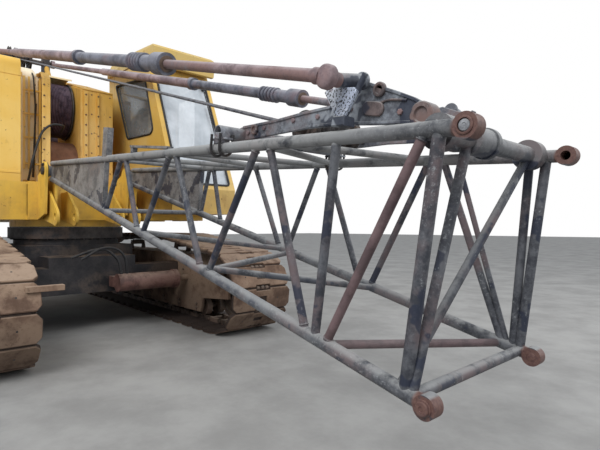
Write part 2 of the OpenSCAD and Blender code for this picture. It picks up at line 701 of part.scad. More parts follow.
// Boom
// Side lacing: [distance along the lower chord, distance along the upper chord, diameter]
near_lacing = [[1797, 2078, 38], [2463, 2158, 38], [2555, 2898, 38], [3386, 2968, 38], [3468, 3828, 38],
    [4300, 3918, 38], [4360, 4358, 40], [4425, 4770, 38], [4828, 4822, 48]];
far_lacing = [[1797, 1900, 38], [2160, 1960, 38], [2250, 2530, 38], [3012, 2606, 38], [3104, 3345, 38],
    [3835, 3430, 38], [3925, 4225, 38], [4775, 4311, 38], [4800, 4395, 28], [4825, 4762, 40], [4856, 4836, 44]];
post_s = 1760;
module chord_cutters() {
    for (y = [-boom_half_w, boom_half_w]) for (s = [-1, 1])
    {
        bar([-200, y, s * chord_h(-200)], [boom_len + 200, y, s * chord_h(boom_len + 200)], chord_d);
        disc(boom_len, y, s * tip_half_h, lug_r, 56);
    }
}
module boom_chords() {
    color(boom_grey) in_boom() for (y = [-boom_half_w, boom_half_w]) for (s = [-1, 1]) difference() {
        union() {
            bar([120, y, s * chord_h(120)], [boom_len - 30, y, s * chord_h(boom_len - 30)], chord_d);
            disc(boom_len, y, s * tip_half_h, lug_r, 56);
        }
        disc(boom_len, y, s * tip_half_h, lug_hole_r, 80);
    }
}
// Side tubes whose upper end lies beyond a distance along the boom
module side_tubes(from_s) {
    for (p = near_lacing) if (p[1] > from_s) bar([p[0], -boom_half_w, -chord_h(p[0])], [p[1], -boom_half_w, chord_h(p[1])], p[2]);
    for (p = far_lacing) if (p[1] > from_s) bar([p[0], boom_half_w, -chord_h(p[0])], [p[1], boom_half_w, chord_h(p[1])], p[2]);
}
module boom_side_lacing() {
    color(boom_grey) in_boom() difference() {
        side_tubes(0);
        chord_cutters();
    }
}
module boom_cross_lacing() {
    color(boom_grey) in_boom() difference() {
        union() {
            for (p = [[1760, 1760], [2500, 3058], [3430, 3150], [3350, 3960], [4430, 4770]])
                bar([p[0], -boom_half_w, -chord_h(p[0])], [p[1], boom_half_w, -chord_h(p[1])], lace_d);
            for (p = [[1760, 1760], [2118, 2480], [2930, 2660], [3060, 3300], [3870, 3480], [4000, 4200]])
                bar([p[0], -boom_half_w, chord_h(p[0])], [p[1], boom_half_w, chord_h(p[1])], lace_d);
        }
        chord_cutters();
    }
}
post_tube_s = 1760;
bar_rear_s = 2280;
bar_front_s = 2890;
module boom_foot_plates() {
    color(boom_grey) in_boom() {
        for (y = [-boom_half_w, boom_half_w]) difference() {
            union() {
                disc(0, y, 0, 92, 60);
                side_plate(y - 6, y + 6)
                    polygon([[60, -chord_h(60)], [post_s, -chord_h(post_s)], [post_s, chord_h(post_s)], [60, chord_h(60)]]);
                block(post_s, post_s + 12, y - 20, y + 20, -chord_h(post_s), chord_h(post_s));
            }
            disc(0, y, 0, 35, 90);
            chord_cutters();
        }
        // short post and flat bar on the right-hand upper chord
        difference() {
            union() {
                block(1712, 1808, -boom_half_w - 25, -boom_half_w + 25, chord_h(post_s) + 8, 469);
                side_plate(-boom_half_w - 22, -boom_half_w + 22)
                    polygon([[bar_rear_s, chord_h(bar_rear_s) + 66], [bar_front_s, chord_h(bar_front_s) + 27],
                        [bar_front_s, chord_h(bar_front_s) + 43], [bar_rear_s, chord_h(bar_rear_s) + 82]]);
                block(bar_rear_s + 10, bar_rear_s + 50, -boom_half_w - 18, -boom_half_w + 18,
                    chord_h(bar_rear_s) + 20, chord_h(bar_rear_s) + 70);
            }
            chord_cutters();
            bar([post_tube_s, -boom_half_w, chord_h(post_tube_s)], [post_tube_s, boom_half_w, chord_h(post_tube_s)], lace_d);
        }
    }
}

// The frame that closes the tip: cross tubes and two diagonals
top_tube_s = 4785;
low_tube_s = 4856;
diagonal_s = 4800;
module boom_tip_frame() {
    h = chord_h(top_tube_s);
    low = -chord_h(low_tube_s);
    color(boom_grey) in_boom() difference() {
        union() {
            bar([top_tube_s, -boom_half_w, h], [top_tube_s, boom_half_w, h], 74);
            bar([top_tube_s, -190, h], [top_tube_s, -40, h], 112);
            bar([top_tube_s, -60, h], [top_tube_s, -35, h], 124);
            bar([top_tube_s, -405, h], [top_tube_s, -345, h], 128);
            bar([top_tube_s, 345, h], [top_tube_s, 405, h], 134);
            bar([low_tube_s, -boom_half_w, low], [low_tube_s, boom_half_w, low], 48);
            bar([diagonal_s, -boom_half_w, -chord_h(diagonal_s)], [top_tube_s, 370, h], 36);
            bar([low_tube_s, -boom_half_w, low], [top_tube_s, -190, h], 40);
        }
        chord_cutters();
        side_tubes(4700);
    }
}

arm_y = 310;
arm_rise = [[3480, 408], [3470, 480], [3506, 490], [3794, 523], [4009, 557], [4185, 580], [4290, 665], [4351, 676]];
arm_fall = [[4352, 492], [4224, 490], [4022, 477]];
module bridle() {
    color(dark_steel) in_boom() {
        side_plate(-arm_y - 10, -arm_y + 10) polygon(concat(arm_rise,
            [[4528, 624], [4614, 595], [4704, 553], [4722, 516], [4693, 491]], arm_fall));
        side_plate(arm_y - 10, arm_y + 10) polygon(concat(arm_rise, [[4480, 640], [4500, 600], [4490, 500]], arm_fall));
        for (p = [[4447, 638, 32], [4415, 558, 38], [3620, 472, 30]]) disc(p[0], -arm_y - 15, p[1], p[2], 10);
        for (p = [[4443, 600, 34], [3620, 472, 30]]) disc(p[0], arm_y + 15, p[1], p[2], 10);
        disc(4668, -arm_y - 5, 526, 49, 60);
        bar([4440, -arm_y, 565], [4440, arm_y, 565], 60);
        bar([bridle_pipe[0], -560, bridle_pipe[1]], [bridle_pipe[0], 560, bridle_pipe[1]], 76);
        for (s = [-1, 1]) difference() {
            block(bridle_pipe[0] - 45, bridle_pipe[0] + 45, s * boom_half_w - 24, s * boom_half_w + 24, 372, bridle_pipe[1]);
            chord_cutters();
        }
    }
}
module bridle_sheaves() {
    color(dark_steel) in_boom() {
        for (y = [-160, -60, 60, 160]) disc(bridle_sheave[0], y, bridle_sheave[1], 95, 40);
        disc(bridle_sheave[0], 0, bridle_sheave[1], 26, 2 * (arm_y - 10) - 2 * eps);
    }
}
pivot_out_y = 476;
module strut_brackets() {
    color(dark_steel) in_boom() for (s = [-1, 1]) difference() {
        union() {
            disc(strut_pin_s, s * (arm_y + 10 + pivot_out_y) / 2, strut_pin_h, 30, pivot_out_y - arm_y - 10 - 2 * eps);
            disc(strut_pin_s, s * (arm_y + 20), strut_pin_h, 42, 14);
            side_plate(s * boom_half_w - 9, s * boom_half_w + 9)
                polygon([[4266, 632], [4300, 655], [4340, 676], [4400, 676], [4460, 622], [4428, 500], [4408, 462], [4352, 462]]);
            bar([4452, s * 430, 664], [4376, s * 430, 498], 26);
            block(4346, 4418, s * boom_half_w - 36, s * boom_half_w + 36, chord_h(4400) + 37, chord_h(4400) + 84);
        }
        chord_cutters();
    }
}

// Backstops: stations are distances from the boom pin along the strut
strut_pin = boom_point(strut_pin_s, strut_pin_h);
strut_vec = [head_x, head_z] - strut_pin;
strut_len = norm(strut_vec);
strut_dir = strut_vec / strut_len;
function strut_at(side, t) = [strut_pin[0] + strut_dir[0] * t, side * strut_y, strut_pin[1] + strut_dir[1] * t];
rod_front = 5450;
joint_at = 5870;
collar_at = 3146;
mouth_at = 1392;
mouth_len = 142;
spring_at = 1703;
spring_coils = 5;
spring_pitch = 46;
spring_wire = 24;
spring_r = 49;
module backstop_rod(side) {
    color(rust) {
        tube(strut_at(side, rod_front), strut_at(side, strut_len - 68), 70, 58);
        difference() {
            disc(head_x, side * strut_y, head_z, 70, 60);
            disc(head_x, side * strut_y, head_z, 40 + pin_play, 80);
        }
    }
}
module backstop_tube(side) {
    color(rust) {
        difference() {
            union() {
                bar(strut_at(side, mouth_at), strut_at(side, collar_at), 88);
                bar(strut_at(side, mouth_at), strut_at(side, mouth_at + mouth_len), 134);
                bar(strut_at(side, mouth_at + mouth_len), strut_at(side, spring_at), 98);
                bar(strut_at(side, collar_at - 38), strut_at(side, collar_at + 38), 124);
                bar(strut_at(side, collar_at), strut_at(side, joint_at), 96);
            }
            bar(strut_at(side, mouth_at - cut), strut_at(side, joint_at + cut), 72);
        }
        for (i = [0 : spring_coils - 1]) translate(strut_at(side, spring_at + 16 + spring_pitch * i))
            rotate([0, 90 - atan2(strut_dir[1], strut_dir[0]), 0])
                rotate_extrude() translate([spring_r, 0]) circle(d = spring_wire, $fn = 16);
    }
}
eye_in_y = 484;
module backstop_eye(side) {
    color(rust) {
        bar(strut_at(side, 40), strut_at(side, 1900), 54);
        disc(strut_pin[0], side * strut_y, strut_pin[1], 48, 56);
        disc(strut_pin[0], side * (eye_in_y + strut_y) / 2, strut_pin[1], 40, strut_y - eye_in_y);
    }
}

sited() carbody();
sited() slew_ring();
sited() gauge_cylinder(1);  // gauge_cylinder_left
sited() gauge_cylinder(-1);  // gauge_cylinder_right
sited() crawler_frame(1);  // crawler_frame_left
sited() track(1);  // track_left
sited() track_rollers(1);  // track_rollers_left
sited() idler(1);  // idler_left
sited() drive_wheel(1);  // drive_wheel_left
sited() crawler_frame(-1);  // crawler_frame_right
sited() track(-1);  // track_right
sited() track_rollers(-1);  // track_rollers_right
sited() idler(-1);  // idler_right
sited() drive_wheel(-1);  // drive_wheel_right
sited() revolving_frame();
sited() side_deck_right();
sited() side_deck_left();
sited() foot_brackets();
sited() house_right();
sited() house_door(door_x[1], 1);  // house_door_front
sited() house_door(door_x[0], -1);  // house_door_rear
sited() house_left();
sited() engine();
sited() counterweight();
sited() cab_shell();
sited() cab_roof();
sited() cab_glass();
sited() cab_door();
sited() cab_step();
sited() operator_seat();
sited() control_stand();
sited() drum_stand();
sited() drum_guards();
sited() drum_pan();
sited() hoist_drum(drum_front, drum_front_y, 372, 345, 306, 250);  // hoist_drum_front
sited() hoist_drum(drum_rear, 0, 340, 220, 500);  // hoist_drum_rear
sited() a_frame_legs();
sited() a_frame_head();
sited() head_sheaves();
sited() hoist_ropes_rear();
sited() hoist_ropes_front();
sited() boom_chords();
sited() boom_side_lacing();
sited() boom_cross_lacing();
sited() boom_foot_plates();
sited() boom_tip_frame();
sited() bridle();
sited() bridle_sheaves();
sited() strut_brackets();
sited() backstop_rod(1);  // backstop_rod_left
sited() backstop_tube(1);  // backstop_tube_left
sited() backstop_eye(1);  // backstop_eye_left
sited() backstop_rod(-1);  // backstop_rod_right
sited() backstop_tube(-1);  // backstop_tube_right
sited() backstop_eye(-1);  // backstop_eye_right
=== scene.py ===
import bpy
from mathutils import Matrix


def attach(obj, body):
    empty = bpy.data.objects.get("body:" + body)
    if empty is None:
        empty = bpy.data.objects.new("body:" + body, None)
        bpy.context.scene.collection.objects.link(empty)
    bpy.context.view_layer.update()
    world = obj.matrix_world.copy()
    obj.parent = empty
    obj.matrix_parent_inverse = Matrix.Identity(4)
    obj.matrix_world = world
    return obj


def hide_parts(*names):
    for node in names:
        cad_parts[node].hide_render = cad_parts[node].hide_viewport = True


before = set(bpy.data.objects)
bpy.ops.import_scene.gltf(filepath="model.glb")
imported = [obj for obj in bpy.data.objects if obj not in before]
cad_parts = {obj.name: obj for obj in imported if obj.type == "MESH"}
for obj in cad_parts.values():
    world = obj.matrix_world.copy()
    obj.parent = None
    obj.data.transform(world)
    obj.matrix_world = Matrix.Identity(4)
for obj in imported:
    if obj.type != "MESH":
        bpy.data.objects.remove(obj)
"""Crawler crane: the visual model, dressed over the CAD frame."""

import logging
import math
from dataclasses import dataclass
from enum import Enum
from functools import cached_property
from typing import Any, Sequence

import bpy
import numpy as np
from mathutils import Vector

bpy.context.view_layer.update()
LOG = logging.getLogger("crawler_crane")
Colour = tuple[float, float, float]
Triple = tuple[float, float, float]    # a place or a direction
Points = Sequence[Sequence[float]]

X, Y, Z = (1.0, 0.0, 0.0), (0.0, 1.0, 0.0), (0.0, 0.0, 1.0)
BOTH = (1.0, -1.0)            # the left and the right side, or the upper and the lower lugs
SHIFT_X = -1.22365            # row frame minus crane frame, in metres
FOOT_PIN = (0.95, 1.826)      # boom foot pin in the crane's x and z
BOOM_DOWN = math.radians(9.0)
BOOM_LENGTH = 4.922           # foot pin to tip pins
FOOT_HALF, TIP_HALF = 0.074, 0.466    # half the height between the chords at the foot and at the tip
CHORD_Y = 0.446               # the chords' distance from the centre plane


# ---------------------------------------------------------------- shader maths

class Socket:
    """A shader value: a node's output, with the arithmetic that wear masks need."""

    def __init__(self, shader: "Shader", link: bpy.types.NodeSocket | None) -> None:
        """Wraps one output of one of the shader's nodes."""
        self.shader = shader
        self.link = link

    def math(self, operation: str, *values: Any, clamp: bool = False) -> "Socket":
        """A Math node on these sockets or numbers, in the node's order."""
        settings = {"operation": operation, "use_clamp": clamp}
        return self.shader.node("ShaderNodeMath", settings, dict(enumerate(values)))

    def __add__(self, other: Any) -> "Socket":
        """Sum."""
        return self.math("ADD", self, other)

    def __mul__(self, other: Any) -> "Socket":
        """Product."""
        return self.math("MULTIPLY", self, other)

    def __sub__(self, other: Any) -> "Socket":
        """Difference."""
        return self.math("SUBTRACT", self, other)

    def __rsub__(self, other: Any) -> "Socket":
        """Difference from a number."""
        return self.math("SUBTRACT", other, self)

    __radd__ = __add__
    __rmul__ = __mul__

    def squared(self) -> "Socket":
        """The value times itself."""
        return self.math("MULTIPLY", self, self)

    def clamp(self) -> "Socket":
        """The value kept between 0 and 1."""
        return self.math("ADD", self, 0.0, clamp=True)

    def span(self, low: float, high: float) -> "Socket":
        """0 below low and 1 above high, smooth between them."""
        values = {"Value": self, "From Min": low, "From Max": high}
        return self.shader.node("ShaderNodeMapRange", {"interpolation_type": "SMOOTHSTEP"}, values)


class Shader:
    """The node tree of one material or of the world, built through one method."""

    def __init__(self, name: str, kept_in: Any = None) -> None:
        """Starts an empty tree.

        Args:
            name: the material's or the world's name.
            kept_in: the file's worlds, or None for its materials.
        """
        self.owner = (bpy.data.materials if kept_in is None else kept_in).new(name)
        self.owner.use_nodes = True
        self.tree = self.owner.node_tree
        self.tree.nodes.clear()

    @cached_property
    def point(self) -> Socket:
        """The point's place in the object's own space."""
        return self.node("ShaderNodeTexCoord", {}, {}, "Object")

    def node(self, kind: str, settings: dict[str, Any], values: dict[Any, Any], output: Any = 0) -> Socket:
        """Adds a node, its settings first and then its values or links.

        Args:
            kind: the node's type.
            settings: its properties.
            values: numbers, colours or sockets by input name or index.
            output: the output's name or index.

        Returns:
            The chosen output, or an empty one for a node that ends the tree.
        """
        made = self.tree.nodes.new(kind)
        for key, value in settings.items():
            setattr(made, key, value)
        for key, value in values.items():
            put = made.inputs[key]
            if isinstance(value, Socket):
                self.tree.links.new(value.link, put)
            elif isinstance(value, tuple) and put.type == "RGBA":
                put.default_value = (*value, 1.0)
            else:
                put.default_value = value
        return Socket(self, made.outputs[output] if made.outputs else None)

    def noise(self, scale: float, detail: float = 4.0, rough: float = 0.6, stretch: Triple = (1.0, 1.0, 1.0),
              shift: float = 0.0) -> Socket:
        """Fractal noise in object space.

        Args:
            scale: cells in a metre.
            detail: octaves.
            rough: strength of the finer octaves.
            stretch: scale along x, y and z.
            shift: moves the pattern, so that two noises differ.

        Returns:
            The noise, around 0.5.
        """
        moved = {"Vector": self.point, "Location": (shift, shift * 0.7, shift * 1.3), "Scale": stretch}
        place = self.node("ShaderNodeMapping", {}, moved, "Vector")
        values = {"Vector": place, "Scale": scale, "Detail": detail, "Roughness": rough}
        return self.node("ShaderNodeTexNoise", {}, values, "Fac")

    def mix(self, mask: Any, below: Any, above: Any) -> Socket:
        """Colour below where the mask is 0, and colour above where it is 1."""
        return self.node("ShaderNodeMix", {"data_type": "RGBA"}, {0: mask, 6: below, 7: above}, 2)

    def axis(self, name: str) -> Socket:
        """One coordinate of the point, in metres in the row frame."""
        return self.node("ShaderNodeSeparateXYZ", {}, {0: self.point}, name)

    def boom_place(self) -> tuple[Socket, Socket]:
        """Where the point lies in the boom's side plane.

        Returns:
            Distance along the boom from its foot pin, and height over its axis, in metres at rest.
        """
        x = self.axis("X") + (-SHIFT_X - FOOT_PIN[0])
        z = self.axis("Z") - FOOT_PIN[1]
        c, n = math.cos(BOOM_DOWN), math.sin(BOOM_DOWN)
        return x * c - z * n, x * n + z * c

    def attribute(self, name: str) -> Socket:
        """A number kept on the mesh's points, 0 where there is none."""
        return self.node("ShaderNodeAttribute", {"attribute_name": name}, {}, "Fac")

    def facing(self, name: str) -> Socket:
        """One component of the surface's own normal."""
        normal = self.node("ShaderNodeTexCoord", {}, {}, "Normal")
        return self.node("ShaderNodeSeparateXYZ", {}, {0: normal}, name)

    def finish(self, colour: Any, rough: Any, metallic: Any = 0.0, bump: Socket | None = None,
               depth: float = 0.001, **fixed: Any) -> bpy.types.Material:
        """Closes the tree with a Principled shader.

        Args:
            colour: base colour.
            rough: roughness.
            metallic: metallic.
            bump: height from 0 to 1, or None.
            depth: height of the bump in metres.
            fixed: the shader's other inputs, spaces written as underscores.

        Returns:
            The material.
        """
        values: dict[Any, Any] = {"Base Color": colour, "Roughness": rough, "Metallic": metallic}
        values.update({key.replace("_", " "): value for key, value in fixed.items()})
        if bump is not None:
            height = {"Height": bump, "Distance": depth, "Strength": 0.8}
            values["Normal"] = self.node("ShaderNodeBump", {}, height, "Normal")
        shader = self.node("ShaderNodeBsdfPrincipled", {}, values, "BSDF")
        self.node("ShaderNodeOutputMaterial", {}, {"Surface": shader})
        return self.owner


# ---------------------------------------------------------------- finishes

@dataclass(frozen=True)
class Paint:
    """Machine paint left outside: soft sun-faded patches, thin streaks, few small chips and dust low down."""

    name: str
    colour: Colour
    faded: Colour
    stain: Colour = (0.30, 0.15, 0.045)
    rust: Colour = (0.15, 0.055, 0.028)
    deep_rust: Colour = (0.045, 0.028, 0.022)
    streaks: float = 0.35
    chips: float = 0.012
    dust_below: float = 1.75
    gloss: float = 0.34

    def make(self) -> bpy.types.Material:
        """Builds the material.

        Returns:
            The finished material.
        """
        s = Shader(self.name)
        broad = s.noise(0.9, 4.0, 0.55)
        mid = s.noise(5.5, 6.0, 0.62, shift=1.3)
        fine = s.noise(24.0, 5.0, 0.66, shift=3.1)
        streak = s.noise(13.0, 4.0, 0.62, (1.0, 1.0, 0.07), 7.7)
        colour = s.mix((broad * 0.7 + mid * 0.3).span(0.40, 0.62), self.colour, self.faded)
        run = streak.span(0.54, 0.72) * mid.span(0.40, 0.62)
        colour = s.mix(run * self.streaks, colour, self.stain)
        low = (1.0 - s.axis("Z").span(self.dust_below - 0.55, self.dust_below + 0.35)) * mid.span(0.34, 0.66)
        colour = s.mix(low * 0.45, colour, self.stain)
        rub = fine.span(0.60, 0.70) * broad.span(0.42, 0.58)
        colour = s.mix(rub * 0.30, colour, self.stain)
        chip = (fine * 0.6 + mid * 0.4).span(0.645 - self.chips, 0.655 - self.chips)
        colour = s.mix(chip * 0.8, colour, s.mix(fine.span(0.64, 0.72), self.rust, self.deep_rust))
        rough = (chip * 0.4 + run * 0.2 + mid * 0.22 + (self.gloss - 0.05)).clamp()
        height = mid * 0.5 + fine * 0.25 + chip * -0.5
        return s.finish(colour, rough, 0.0, height, 0.0014, Specular_IOR_Level=0.45)


@dataclass(frozen=True)
class Rust:
    """Bare or once painted steel gone to rust, with dust on what faces up.

    Behind rear's first number, a place along the row frame, its two colours take the place of dark and light.
    """

    name: str
    dark: Colour
    light: Colour
    patch: Colour
    patch_share: float = 0.45
    scale: float = 6.0
    rough: float = 0.78
    metal: float = 0.15
    depth: float = 0.0022
    dust: float = 0.30
    dust_colour: Colour = (0.40, 0.34, 0.27)
    rear: tuple[float, Colour, Colour] | None = None
    # weight of a near-black mix: darker towards the bottom, and painted shade in the gaps marked on the mesh's points
    low_dark_and_gap_shade: float = 0.0
    low_dark_and_gap_shade_colour: Colour = (0.035, 0.022, 0.017)

    def make(self) -> bpy.types.Material:
        """Builds the material.

        Returns:
            The finished material.
        """
        s = Shader(self.name)
        broad = s.noise(self.scale * 0.35, 5.0, 0.6)
        mid = s.noise(self.scale, 7.0, 0.66, shift=2.0)
        grit = s.noise(self.scale * 9.0, 5.0, 0.72, shift=5.0)
        colour = s.mix(mid.span(0.36, 0.62), self.dark, self.light)
        if self.rear:
            split, dark, light = self.rear
            behind = s.mix(mid.span(0.36, 0.62), dark, light)
            colour = s.mix(s.axis("X").span(split - 0.02, split + 0.02), behind, colour)
        edge = 0.5 + (0.5 - self.patch_share) * 0.3
        patch = (broad * 0.7 + mid * 0.3).span(edge - 0.05, edge + 0.05)
        colour = s.mix(patch * 0.8, colour, self.patch)
        colour = s.mix(grit.span(0.54, 0.66) * 0.5, colour, self.dark)
        top = s.facing("Z").span(0.25, 0.9) * mid.span(0.3, 0.55)
        colour = s.mix(top * self.dust, colour, self.dust_colour)
        # Darker towards the bottom, and painted shade in the gaps marked on the mesh's points.
        if self.low_dark_and_gap_shade:
            low = (1.0 - s.axis("Z").span(0.10, 0.95)) * 0.55 + s.attribute("grime").span(0.05, 0.75) * 0.85
            colour = s.mix((low * self.low_dark_and_gap_shade).clamp(), colour, self.low_dark_and_gap_shade_colour)
        rough = (grit * 0.3 + (self.rough - 0.12)).clamp()
        metallic = patch * -self.metal + self.metal
        return s.finish(colour, rough, metallic, mid * 0.6 + grit * 0.4, self.depth)


@dataclass(frozen=True)
class TubePaint:
    """Old blue-grey tube paint: navy patches, purple-brown rust, bare rub marks, dust on top and rusty tip lugs.

    Each of brown_lines is a member gone wholly brown, by (along, above, across) at its two ends.
    """

    name: str
    dark: Colour = (0.030, 0.033, 0.043)
    light: Colour = (0.110, 0.115, 0.128)
    navy: Colour = (0.015, 0.021, 0.042)
    brown: Colour = (0.120, 0.078, 0.080)
    bare: Colour = (0.36, 0.38, 0.39)
    dust: Colour = (0.33, 0.335, 0.33)
    member: tuple[Colour, Colour] = ((0.165, 0.105, 0.108), (0.085, 0.052, 0.055))
    lug: tuple[Colour, Colour] = ((0.140, 0.074, 0.060), (0.10, 0.05, 0.045))
    chord_light: float = 0.0
    brown_lines: tuple[tuple[Triple, Triple], ...] = ()
    brown_share: float = 0.5

    def make(self) -> bpy.types.Material:
        """Builds the material.

        Returns:
            The finished material.
        """
        s = Shader(self.name)
        broad = s.noise(2.6, 5.0, 0.6)
        mid = s.noise(9.0, 6.0, 0.68, shift=2.0)
        grit = s.noise(75.0, 4.0, 0.7, shift=5.0)
        colour = s.mix((mid * 0.75 + grit * 0.25).span(0.38, 0.60), self.dark, self.light)
        edge = 0.60 - self.brown_share * 0.16
        rusty = s.noise(1.7, 5.0, 0.6, shift=9.0).span(edge, edge + 0.10)
        colour = s.mix(rusty * mid.span(0.35, 0.6) * 0.75, colour, self.brown)
        patch = s.noise(5.2, 3.0, 0.55, shift=4.0).span(0.57, 0.60)
        colour = s.mix(patch * 0.85, colour, self.navy)
        colour = s.mix(grit.span(0.56, 0.68) * broad.span(0.45, 0.6) * 0.5, colour, self.bare)
        along, above = s.boom_place()
        top = s.facing("Z").span(0.25, 0.95) * mid.span(0.28, 0.52)
        colour = s.mix(top * (above.span(-0.1, 0.25) * 0.14 + 0.62), colour, self.dust)
        if self.brown_lines:
            colour = s.mix(self.members(s, along, above) * 0.9, colour, s.mix(mid.span(0.38, 0.62), *self.member))
        if self.chord_light:
            inside = along * ((TIP_HALF - FOOT_HALF) / BOOM_LENGTH) + 0.040
            chord = (above.squared() - inside.squared()).span(0.0, 0.008) * (above.span(0.0, 0.05) * 0.75 + 0.25)
            chord = chord * mid.span(0.25, 0.5) * (1.0 - along.span(4.2, 4.75) * 0.65)
            colour = s.mix(chord * self.chord_light, colour, self.dust)
        ends = along.span(4.868, 4.884) * above.squared().span(0.18, 0.185) * s.axis("Y").squared().span(0.164, 0.168)
        colour = s.mix(ends * mid.span(0.3, 0.42), colour, s.mix(grit.span(0.42, 0.62), *self.lug))
        rough = (grit * 0.25 + 0.42 + rusty * 0.15).clamp()
        return s.finish(colour, rough, 0.0, mid * 0.55 + grit * 0.35 + patch * 0.2, 0.0018, Specular_IOR_Level=0.45)

    def members(self, s: Shader, along: Socket, above: Socket) -> Any:
        """1 on each brown line: |v|^2 - (v.d)^2 within the tube's radius, and v.d short of both ends.

        Args:
            s: the shader.
            along: distance along the boom.
            above: height over the boom's axis.

        Returns:
            The mask.
        """
        mask: Any = 0.0
        across = s.axis("Y")
        for start, end in self.brown_lines:
            run = np.subtract(end, start)
            length = float(np.linalg.norm(run))
            da, dh, dy = (float(v) for v in run / length)
            a, h, w = along - start[0], above - start[1], across - start[2]
            on = a * da + h * dh + w * dy
            off = a.squared() + h.squared() + w.squared() - on.squared()
            within = on.span(0.030, 0.045) * (1.0 - on.span(length - 0.045, length - 0.030))
            mask = (1.0 - off.span(0.0006, 0.0008)) * within + mask
        return mask


@dataclass(frozen=True)
class Speckled:
    """Pale blue-white paint with many small black spots and rust showing in a few."""

    name: str = "speckled_pale_plate"

    def make(self) -> bpy.types.Material:
        """Builds the material.

        Returns:
            The finished material.
        """
        s = Shader(self.name)
        spot = s.noise(150.0, 2.0, 0.5, (1.0, 1.0, 0.75), 3.0)
        colour = s.mix(s.noise(10.0, 5.0, 0.6).span(0.4, 0.6), (0.42, 0.47, 0.58), (0.68, 0.72, 0.80))
        colour = s.mix(spot.span(0.56, 0.585) * 0.95, colour, (0.018, 0.018, 0.022))
        colour = s.mix(s.noise(9.0, 4.0, 0.6, shift=8.0).span(0.62, 0.66) * 0.7, colour, (0.14, 0.075, 0.065))
        return s.finish(colour, (spot * 0.3 + 0.4).clamp(), 0.0, spot, 0.0012)


@dataclass(frozen=True)
class Glass:
    """Old hazy cab glass: the windscreen painted pale as a reflection of the sky, the side windows painted dark as the
    shade inside the cab.
    """

    name: str = "cab_glass_pale"

    def make(self) -> bpy.types.Material:
        """Builds the material.

        Returns:
            The finished material.
        """
        s = Shader(self.name)
        haze = s.noise(2.2, 4.0, 0.6).span(0.3, 0.75)
        wipe = s.noise(14.0, 3.0, 0.5, (1.0, 1.0, 0.2), 4.0)
        # painted reflection and shade: panes facing forward pale, panes facing sideways dark
        side = s.mix(haze, (0.12, 0.13, 0.135), (0.27, 0.29, 0.295))
        front = s.mix(haze, (0.60, 0.66, 0.72), (0.80, 0.85, 0.90))
        colour = s.mix(s.facing("X").span(0.5, 0.8), side, front)
        alpha = (haze * 0.2 + wipe * 0.1 + 0.50).clamp()
        return s.finish(colour, 0.07, Alpha=alpha, Specular_IOR_Level=0.6)


@dataclass(frozen=True)
class Lamp:
    """Ribbed lamp plastic."""

    name: str
    colour: Colour

    def make(self) -> bpy.types.Material:
        """Builds the material.

        Returns:
            The finished material.
        """
        s = Shader(self.name)
        rib = s.node("ShaderNodeTexWave", {"bands_direction": "Z"}, {"Vector": s.point, "Scale": 60.0}, "Fac")
        grime = s.noise(30.0, 4.0, 0.6).span(0.4, 0.7)
        return s.finish(s.mix(grime * 0.5, self.colour, (0.08, 0.05, 0.04)), 0.25, 0.0, rib, 0.001)


